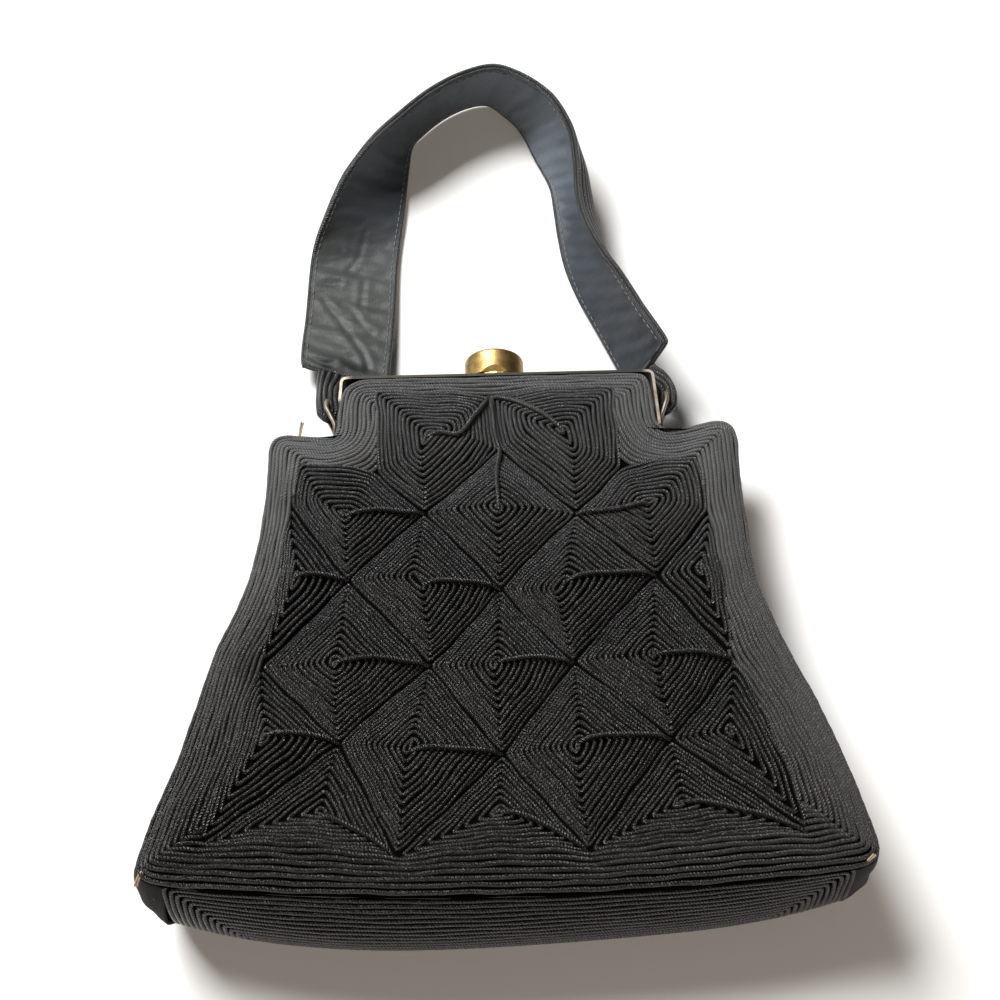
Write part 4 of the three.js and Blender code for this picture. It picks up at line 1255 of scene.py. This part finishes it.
def rounded_ends(grid):
    """A grid of points along and across the strap, with the strap's corners rounded off."""
    grid = grid.copy()
    columns = np.linspace(0, 1, grid.shape[1])
    for row in range(int(STRAP_CORNER / STRAP_STEP) + 1):
        inset_by = STRAP_CORNER - math.sqrt(STRAP_CORNER ** 2 - (STRAP_CORNER - row * STRAP_STEP) ** 2)
        closer = 0.5 + (columns - 0.5) * (1 - 2 * inset_by / STRAP_WIDTH)
        for end in (row, -1 - row):
            grid[end] = points_at(closer, columns, grid[end])
    return grid


def strap_lining():
    along = (np.arange(len(strap_shares)) * STRAP_STEP)[:, None]
    across = np.linspace(0, STRAP_WIDTH, STRAP_COLUMNS + 1)[None, :]
    wrinkle = 0.28 * np.sin(0.42 * along + 1.7 * np.sin(0.16 * across))
    wrinkle = wrinkle + 0.2 * np.sin(0.83 * along - 0.21 * across + 1.1)
    edge = np.clip(np.minimum(across, STRAP_WIDTH - across) / FLAT_EDGE, 0, 1)
    lift = ((wrinkle + creased(along, across)) * edge)[:, :, None]
    outer = rounded_ends(strap_spots + strap_facings * (LINING + lift))[:, ::-1]
    inner = rounded_ends(strap_spots + strap_facings * np.minimum(lift, 0))[:, ::-1]
    uv = np.stack(np.broadcast_arrays(along, across), axis=2)[:, ::-1]
    lining = given(shell("strap_lining", outer, inner, leather, uv), "lining_leather", "strap_lining")
    stitches = []
    step = STITCH["length"] + STITCH["gap"]
    shares, heights = STITCH_SHAPE[:, 0], STITCH_SHAPE[:, 1:]
    for inset_by in (STITCH["inset"], STRAP_WIDTH - STITCH["inset"]):
        line, facings = strap_line(inset_by, LINING + STITCH["lift"])
        length = lengths_along(line)
        for start in np.arange(step, length[-1] - step, step):
            places = start + STITCH["length"] * shares
            ways = unit(points_at(places, length, facings))
            stitches.append((points_at(places, length, line) + ways * heights, ways))
    thread = cords("strap_stitches", stitches, STITCH["radius"], thread_grey, THREAD_SIDES)
    given(thread, "black_cord", "strap_lining")


def on_strap(places, height):
    """Places given as the way along the strap and across it, at a height, and how the lining faces there."""
    row = np.clip(places[:, 0] / STRAP_STEP, 0, len(strap_spots) - 1.001)
    column = np.clip(places[:, 1] / STRAP_WIDTH * STRAP_COLUMNS, 0, STRAP_COLUMNS - 0.001)
    r, c = row.astype(int), column.astype(int)
    u, v = (row - r)[:, None], (column - c)[:, None]

    def blended(grid):
        near = grid[r, c] * (1 - v) + grid[r, c + 1] * v
        far = grid[r + 1, c] * (1 - v) + grid[r + 1, c + 1] * v
        return near * (1 - u) + far * u

    facings = unit(blended(strap_facings))
    return blended(strap_spots) + facings * height, facings


def edge_line(inset_by):
    """The way round the strap's edge and its ends, as the way along the strap and across it."""
    last = (len(strap_spots) - 1) * STRAP_STEP
    low, high, end = inset_by, STRAP_WIDTH - inset_by, last - inset_by
    start = (last / 2, low)
    corners = np.array([start, (low, low), (low, high), (end, high), (end, low), start])
    line = resampled(corners, ROUTE_STEP)[:-1]
    line = softened(line, STRAP_CORNER / 2, closed=True)
    return thinned(np.vstack([line, line[:1]]))


BACKING = 0.8
STRAP_EDGE_HEIGHT = 0.2
STRAP_EDGE_INSET = 0.6


def strap_face():
    low = -SEAM_GAP - BACKING
    outer = rounded_ends(strap_spots + strap_facings * low)
    inner = rounded_ends(strap_spots - strap_facings * SEAM_GAP)
    backing = given(shell("strap_backing", outer, inner, cloth_black), "black_cloth", "strap_face")
    pitch = STRAP_WIDTH / STRAP_CORD_ROWS
    cord_height = low - STRAP_CORD_SINK
    routes = []
    for row in range(STRAP_CORD_ROWS):
        line, facings = strap_line((row + 0.5) * pitch, cord_height)
        routes.append((line[::2], -facings[::2]))
    rim = edge_line(STRAP_EDGE_INSET)
    for height in (STRAP_EDGE_HEIGHT, cord_height):
        line, facings = on_strap(rim, height)
        routes.append((line, -facings))
    given(cords("strap_cords", routes, CORD_RADIUS, cord_black), "black_cord", "strap_face")


strap_lining()
strap_face()


# The tabs that the strap's ends are rolled into, round the rings

TAB_BEND = {"share": 0.55, "outward": 0.6}
TAB_FLAT_FROM = 0.45
TAB_NOSE = {"least": 0.12, "growth": 6.0}
TAB_STEPS = 28
TAB_AROUND = 48


def ring_top(side):
    """The x of the upper end of a ring."""
    return -RING_TOP["half"] if side < 0 else RING_TOP["half"] - RIGHT_RING_IN


def strap_tab(name, side):
    bar = laid(np.array([ring_top(side), RING_TOP["up"], 0.0]))
    share = np.array([0.0 if side < 0 else 1.0])
    spots, facings = strap_sections(share, 8)
    eighth = TAB_AT_STRAP[side]["eighth"]
    seat, seat_facing = spots[0, eighth], facings[0, eighth]
    seat_across = unit(spots[0, eighth + 1] - spots[0, eighth - 1])
    near = centripetal(strap_rows[:, :3], np.array([0.0, 0.001] if side < 0 else [0.999, 1.0]))
    seat_along = (near[1] - near[0]) * [1, 1, 0] * -side
    seat = seat - seat_facing * SEAM_GAP / 2 - unit(seat_along) * SEAM_GAP
    bend = bar + (seat - bar) * TAB_BEND["share"] + [side * TAB_BEND["outward"], 0, 0]
    way = [bar + [-side, -TAB["beyond"], 0], bar, bend, seat]
    at = np.linspace(0, 1, TAB_STEPS)
    line = centripetal(way, at)
    along = unit(np.gradient(line, axis=0))
    level = unit(np.cross([0, 0, 1], along))
    flat = rising(at, TAB_FLAT_FROM, 1 - TAB_FLAT_FROM)[:, None]
    tilt = np.where(level @ seat_across < 0, -1, 1)[:, None] * seat_across
    facing = unit(np.cross(along, level) * (1 - flat) + seat_facing * flat)
    across = unit(level * (1 - flat) + tilt * flat)
    nose = np.sqrt(np.minimum(1, TAB_NOSE["least"] + at * TAB_NOSE["growth"]))[:, None]
    width = nose * (TAB["half_width"] * (1 - flat) + TAB_AT_STRAP[side]["half_width"] * flat)
    depth = nose * (TAB["half_depth"] * (1 - flat) + TAB_FLAT_DEPTH * flat)

    def along_tab(turn, sink):
        beside, above = across * (width - sink), facing * (depth - sink)
        places = line + beside * math.cos(turn) + above * math.sin(turn)
        return places, unit(across * math.cos(turn) / width + facing * math.sin(turn) / depth)

    turns = TWO_PI * np.arange(TAB_AROUND) / TAB_AROUND
    rings = np.stack([along_tab(turn, TAB_CORE_SINK)[0] for turn in turns], axis=1)
    index = np.arange(TAB_STEPS * TAB_AROUND).reshape(TAB_STEPS, TAB_AROUND)
    after = np.roll(index, -1, axis=1)
    walls = np.stack([index[:-1], after[:-1], after[1:], index[1:]], axis=2).reshape(-1, 4)
    ends = [index[0][::-1].tolist(), index[-1].tolist()]
    body = new_mesh(name + "_core", rings.reshape(-1, 3), walls.tolist() + ends, cloth_black)
    given(body, "black_cloth", name)
    routes = [along_tab(TWO_PI * (k + 0.5) / TAB_CORDS, TAB_CORD_SINK) for k in range(TAB_CORDS)]
    given(cords(name + "_cords", routes, CORD_RADIUS, cord_black), "black_cord", name)


for end, side in ENDS.items():
    strap_tab("strap_tab_" + end, side)


# Metal

STANDING = np.array([[1, 0, 0], [0, 0, 1], [0, -1, 0]])
LAYING = Matrix.Translation(Vector(LAID_SHIFT * MM)) @ Matrix((LAID_TURN @ STANDING).tolist()).to_4x4()


def started(operation, **settings):
    """A new primitive. Metal is drawn standing, with up as z and the front towards -y."""
    bpy.ops.object.select_all(action="DESELECT")
    operation(**settings)
    bpy.ops.object.transform_apply(location=True, rotation=True, scale=True)
    return bpy.context.object


def laid_down(piece, name, finish, angle=35):
    piece.name = name
    piece.data.name = name
    piece.data.transform(LAYING)
    piece.data.materials.append(finish)
    bpy.ops.object.shade_smooth_by_angle(angle=math.radians(angle))
    return piece


def strap_ring(name, side):
    middle_up = (HINGE_UP + RING_TOP["up"]) / 2
    spread = (RING_TOP["up"] - HINGE_UP) / 2 - RING_HALF_DEPTH
    lean = (ring_top(side) - side * EYE_HALF) / 2
    piece = started(
        bpy.ops.mesh.primitive_torus_add,
        major_segments=48,
        minor_segments=14,
        major_radius=RING_HALF_DEPTH * MM,
        minor_radius=WIRE_RADIUS * MM,
        rotation=(0, math.pi / 2, 0),
        location=((ring_top(side) + side * EYE_HALF) / 2 * MM, 0, middle_up * MM),
    )
    for way in (-1, 1):
        bpy.ops.object.mode_set(mode="EDIT")
        bpy.ops.mesh.select_all(action="DESELECT")
        bpy.ops.object.mode_set(mode="OBJECT")
        for vertex in piece.data.vertices:
            vertex.select = way * (vertex.co.z - middle_up * MM) > 1e-6
        bpy.ops.object.mode_set(mode="EDIT")
        bpy.ops.transform.translate(value=(way * lean * MM, 0, way * spread * MM))
        bpy.ops.object.mode_set(mode="OBJECT")
    given(laid_down(piece, name, gilt), "frame_metal", name)


HINGE_PIN = {"radius": 1.5, "inner": 62.0}
EYE = {"ring": 2.15, "wire": 0.85}


def hinge_pin(name, side):
    reach = EYE_HALF - EYE["ring"]
    middle = (HINGE_PIN["inner"] + reach) / 2
    eye = started(
        bpy.ops.mesh.primitive_torus_add,
        major_segments=36,
        minor_segments=12,
        major_radius=EYE["ring"] * MM,
        minor_radius=EYE["wire"] * MM,
        rotation=(math.pi / 2, 0, 0),
        location=(side * EYE_HALF * MM, 0, HINGE_UP * MM),
    )
    pin = started(
        bpy.ops.mesh.primitive_cylinder_add,
        vertices=32,
        radius=HINGE_PIN["radius"] * MM,
        depth=(reach - HINGE_PIN["inner"]) * MM,
        rotation=(0, math.pi / 2, 0),
        location=(side * middle * MM, 0, HINGE_UP * MM),
    )
    eye.select_set(True)
    bpy.context.view_layer.objects.active = pin
    bpy.ops.object.join()
    given(laid_down(pin, name, gilt), "frame_metal", name)


for end, side in ENDS.items():
    strap_ring("ring_" + end, side)
    hinge_pin("hinge_pin_" + end, side)


CAP_HOLLOW = {"share": 0.86, "back": 1.5, "height": 7.5}
# Boxes cut from the cap's lower back, so that it clears the plate and its ears when it lifts: half width,
# from and to behind the middle, and height
CAP_CUTS = {"relief": (25.0, 8.8, 25.0, 4.2), "ear slot": (6.0, 5.0, 11.2, 6.5)}
CUT_BELOW = 1.0  # how far each box reaches below the cap
CAP_SMOOTHING = 12  # degrees


def picked_face(piece, along):
    """Selects the widest face that faces a direction, in edit mode."""
    bpy.ops.object.mode_set(mode="OBJECT")
    facing = [face for face in piece.data.polygons if face.normal.dot(along) > 0.99]
    best = max(facing, key=lambda face: face.area)
    for group in (piece.data.vertices, piece.data.edges, piece.data.polygons):
        for part in group:
            part.select = False
    best.select = True
    bpy.ops.object.mode_set(mode="EDIT")
    bpy.ops.mesh.select_mode(type="FACE")


def drawn_in(share, middle, by):
    """A smaller copy of the picked face, drawn towards a middle and moved."""
    bpy.ops.mesh.extrude_region()
    bpy.ops.transform.resize(value=(share, share, share), center_override=middle)
    bpy.ops.transform.translate(value=by)


def cut_away(piece, half_width, near, far, height):
    """Takes a box out of the underside of the cap."""
    tool = started(
        bpy.ops.mesh.primitive_cube_add,
        size=1,
        location=(0, (near + far) / 2 * MM, (CAP["low"] + (height - CUT_BELOW) / 2) * MM),
        scale=(2 * half_width * MM, (far - near) * MM, (height + CUT_BELOW) * MM),
    )
    cut = piece.modifiers.new("cut", "BOOLEAN")
    cut.operation = "DIFFERENCE"
    cut.object = tool
    bpy.context.view_layer.objects.active = piece
    bpy.ops.object.modifier_apply(modifier=cut.name)
    bpy.data.objects.remove(tool)
    piece.select_set(True)


def clasp_cap():
    """A brass drum, bevelled for the thumb at its front and hollow underneath."""
    piece = started(
        bpy.ops.mesh.primitive_cylinder_add,
        vertices=96,
        radius=CAP["radius"] * MM,
        depth=CAP["height"] * MM,
        location=(CAP["x"] * MM, 0, (CAP["low"] + CAP["height"] / 2) * MM),
    )
    picked_face(piece, Vector((0, 0, 1)))
    bpy.ops.mesh.bevel(offset=CAP["rim"] * MM, segments=10, affect="EDGES")
    bpy.ops.mesh.select_all(action="SELECT")
    slope = Vector((0, -CAP_BEVEL["height"], -CAP_BEVEL["reach"])).normalized()
    bpy.ops.mesh.bisect(
        plane_co=(0, -(CAP["radius"] - CAP_BEVEL["reach"]) * MM, CAP["low"] * MM),
        plane_no=slope,
        use_fill=True,
        clear_outer=True,
    )
    picked_face(piece, Vector((0, 0, -1)))
    hollow_middle = (CAP["x"] * MM, CAP_HOLLOW["back"] * MM, CAP["low"] * MM)
    drawn_in(CAP_HOLLOW["share"], hollow_middle, (0, 0, 0))
    drawn_in(1.0, (0, 0, 0), (0, 0, CAP_HOLLOW["height"] * MM))
    bpy.ops.mesh.select_all(action="SELECT")
    bpy.ops.mesh.normals_make_consistent(inside=False)
    bpy.ops.object.mode_set(mode="OBJECT")
    for sizes in CAP_CUTS.values():
        cut_away(piece, *sizes)
    laid_down(piece, "clasp_cap_brass", brass, CAP_SMOOTHING)
    given(piece, "clasp_brass", "clasp_cap", body="cap")


clasp_cap()


def refinished(finish, slot, *names):
    for name in names:
        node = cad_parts[name]
        node.data.materials.clear()
        node.data.materials.append(finish)


refinished(gilt, "frame_metal", "frame_front", "frame_back")
refinished(brass, "clasp_brass", "clasp_plate", "clasp_stud", "clasp_pin")


# Loose threads, each from its root to its tip, standing
LOOSE_THREADS = {
    "shoulder_tuft": [(-81.5, 189.0, 13.5), (-81.0, 193.5, 13.9), (-80.5, 196.0, 14.0)],
    "base_thread_left": [(-126.0, 14.5, 26.5), (-129.5, 10.0, 25.5), (-131.0, 7.0, 23.5)],
    "base_thread_right": [(124.9, 8.6, 28.3), (126.2, 9.6, 28.4), (127.4, 10.6, 28.2)],
}


LOOSE_STRANDS = 4
LOOSE_RADIUS = 0.36
LOOSE_SPREAD = {"root": 0.25, "growth": 0.3}


def loose_threads():
    for name, points in LOOSE_THREADS.items():
        line = through(points, 5)
        share = np.linspace(0, 1, len(line))[:, None]
        upward = np.tile([0.0, 0.0, 1.0], (len(line), 1))
        routes = []
        for strand in range(LOOSE_STRANDS):
            turn = 2.1 * strand
            spread = np.array([math.cos(turn), 0.4 * math.sin(1.3 * strand), math.sin(turn)])
            apart = LOOSE_SPREAD["root"] + LOOSE_SPREAD["growth"] * share
            routes.append((laid(line + spread * apart), upward))
        thread = cords(name, routes, LOOSE_RADIUS, thread_tan, THREAD_SIDES)
        given(thread, "black_cord", "front_panel")


loose_threads()


# The floor, the light and the camera

def floor():
    plane = started(bpy.ops.mesh.primitive_plane_add, size=6.0)
    plane.name = "floor"
    finish = Finish("floor_white", {"Roughness": 0.6, "Specular IOR Level": 0.2})
    blotch = finish.noise(300, 2.0)
    colour = finish.mixed(blotch, (0.91, 0.91, 0.90), (0.94, 0.94, 0.93))
    finish.set(finish.shader, {"Base Color": colour})
    plane.data.materials.append(finish.material)


def lamp(name, place, aim, width, power, colour):
    light = bpy.data.lights.new(name, "AREA")
    light.shape = "SQUARE"
    light.size = width
    light.energy = power
    light.color = colour
    holder = bpy.data.objects.new(name, light)
    bpy.context.scene.collection.objects.link(holder)
    holder.location = place
    holder.rotation_euler = (Vector(aim) - Vector(place)).to_track_quat("-Z", "Y").to_euler()


def studio():
    world = bpy.data.worlds.new("studio")
    bpy.context.scene.world = world
    world.use_nodes = True
    background = world.node_tree.nodes["Background"].inputs
    background["Color"].default_value = (1, 1, 1, 1)
    background["Strength"].default_value = 0.065
    lamp("key", (-0.72, 0.98, 1.60), aim=(0, 0.02, 0), width=0.7, power=59.0, colour=(1, 1, 1))
    lamp("fill", (0.30, -1.40, 1.20), aim=(0, 0, 0), width=0.8, power=9.5, colour=(1, 0.86, 0.72))
    bpy.context.scene.view_settings.view_transform = "Standard"


def camera():
    elevation, roll = math.radians(CAMERA_ELEVATION), math.radians(CAMERA_ROLL)
    forward = Vector((0, math.cos(elevation), -math.sin(elevation)))
    level_up = Vector((0, math.sin(elevation), math.cos(elevation)))
    right = Vector((math.cos(roll), 0, 0)) - math.sin(roll) * level_up
    up = Vector((math.sin(roll), 0, 0)) + math.cos(roll) * level_up
    lens = bpy.data.cameras.new("camera")
    lens.lens = LENS
    lens.sensor_width = 36
    lens.clip_start = 0.01
    holder = bpy.data.objects.new("camera", lens)
    bpy.context.scene.collection.objects.link(holder)
    turn = Matrix((right, up, -forward)).transposed().to_4x4()
    holder.matrix_world = Matrix.Translation(Vector(CAMERA) * MM) @ turn
    bpy.context.scene.camera = holder


floor()
studio()
camera()
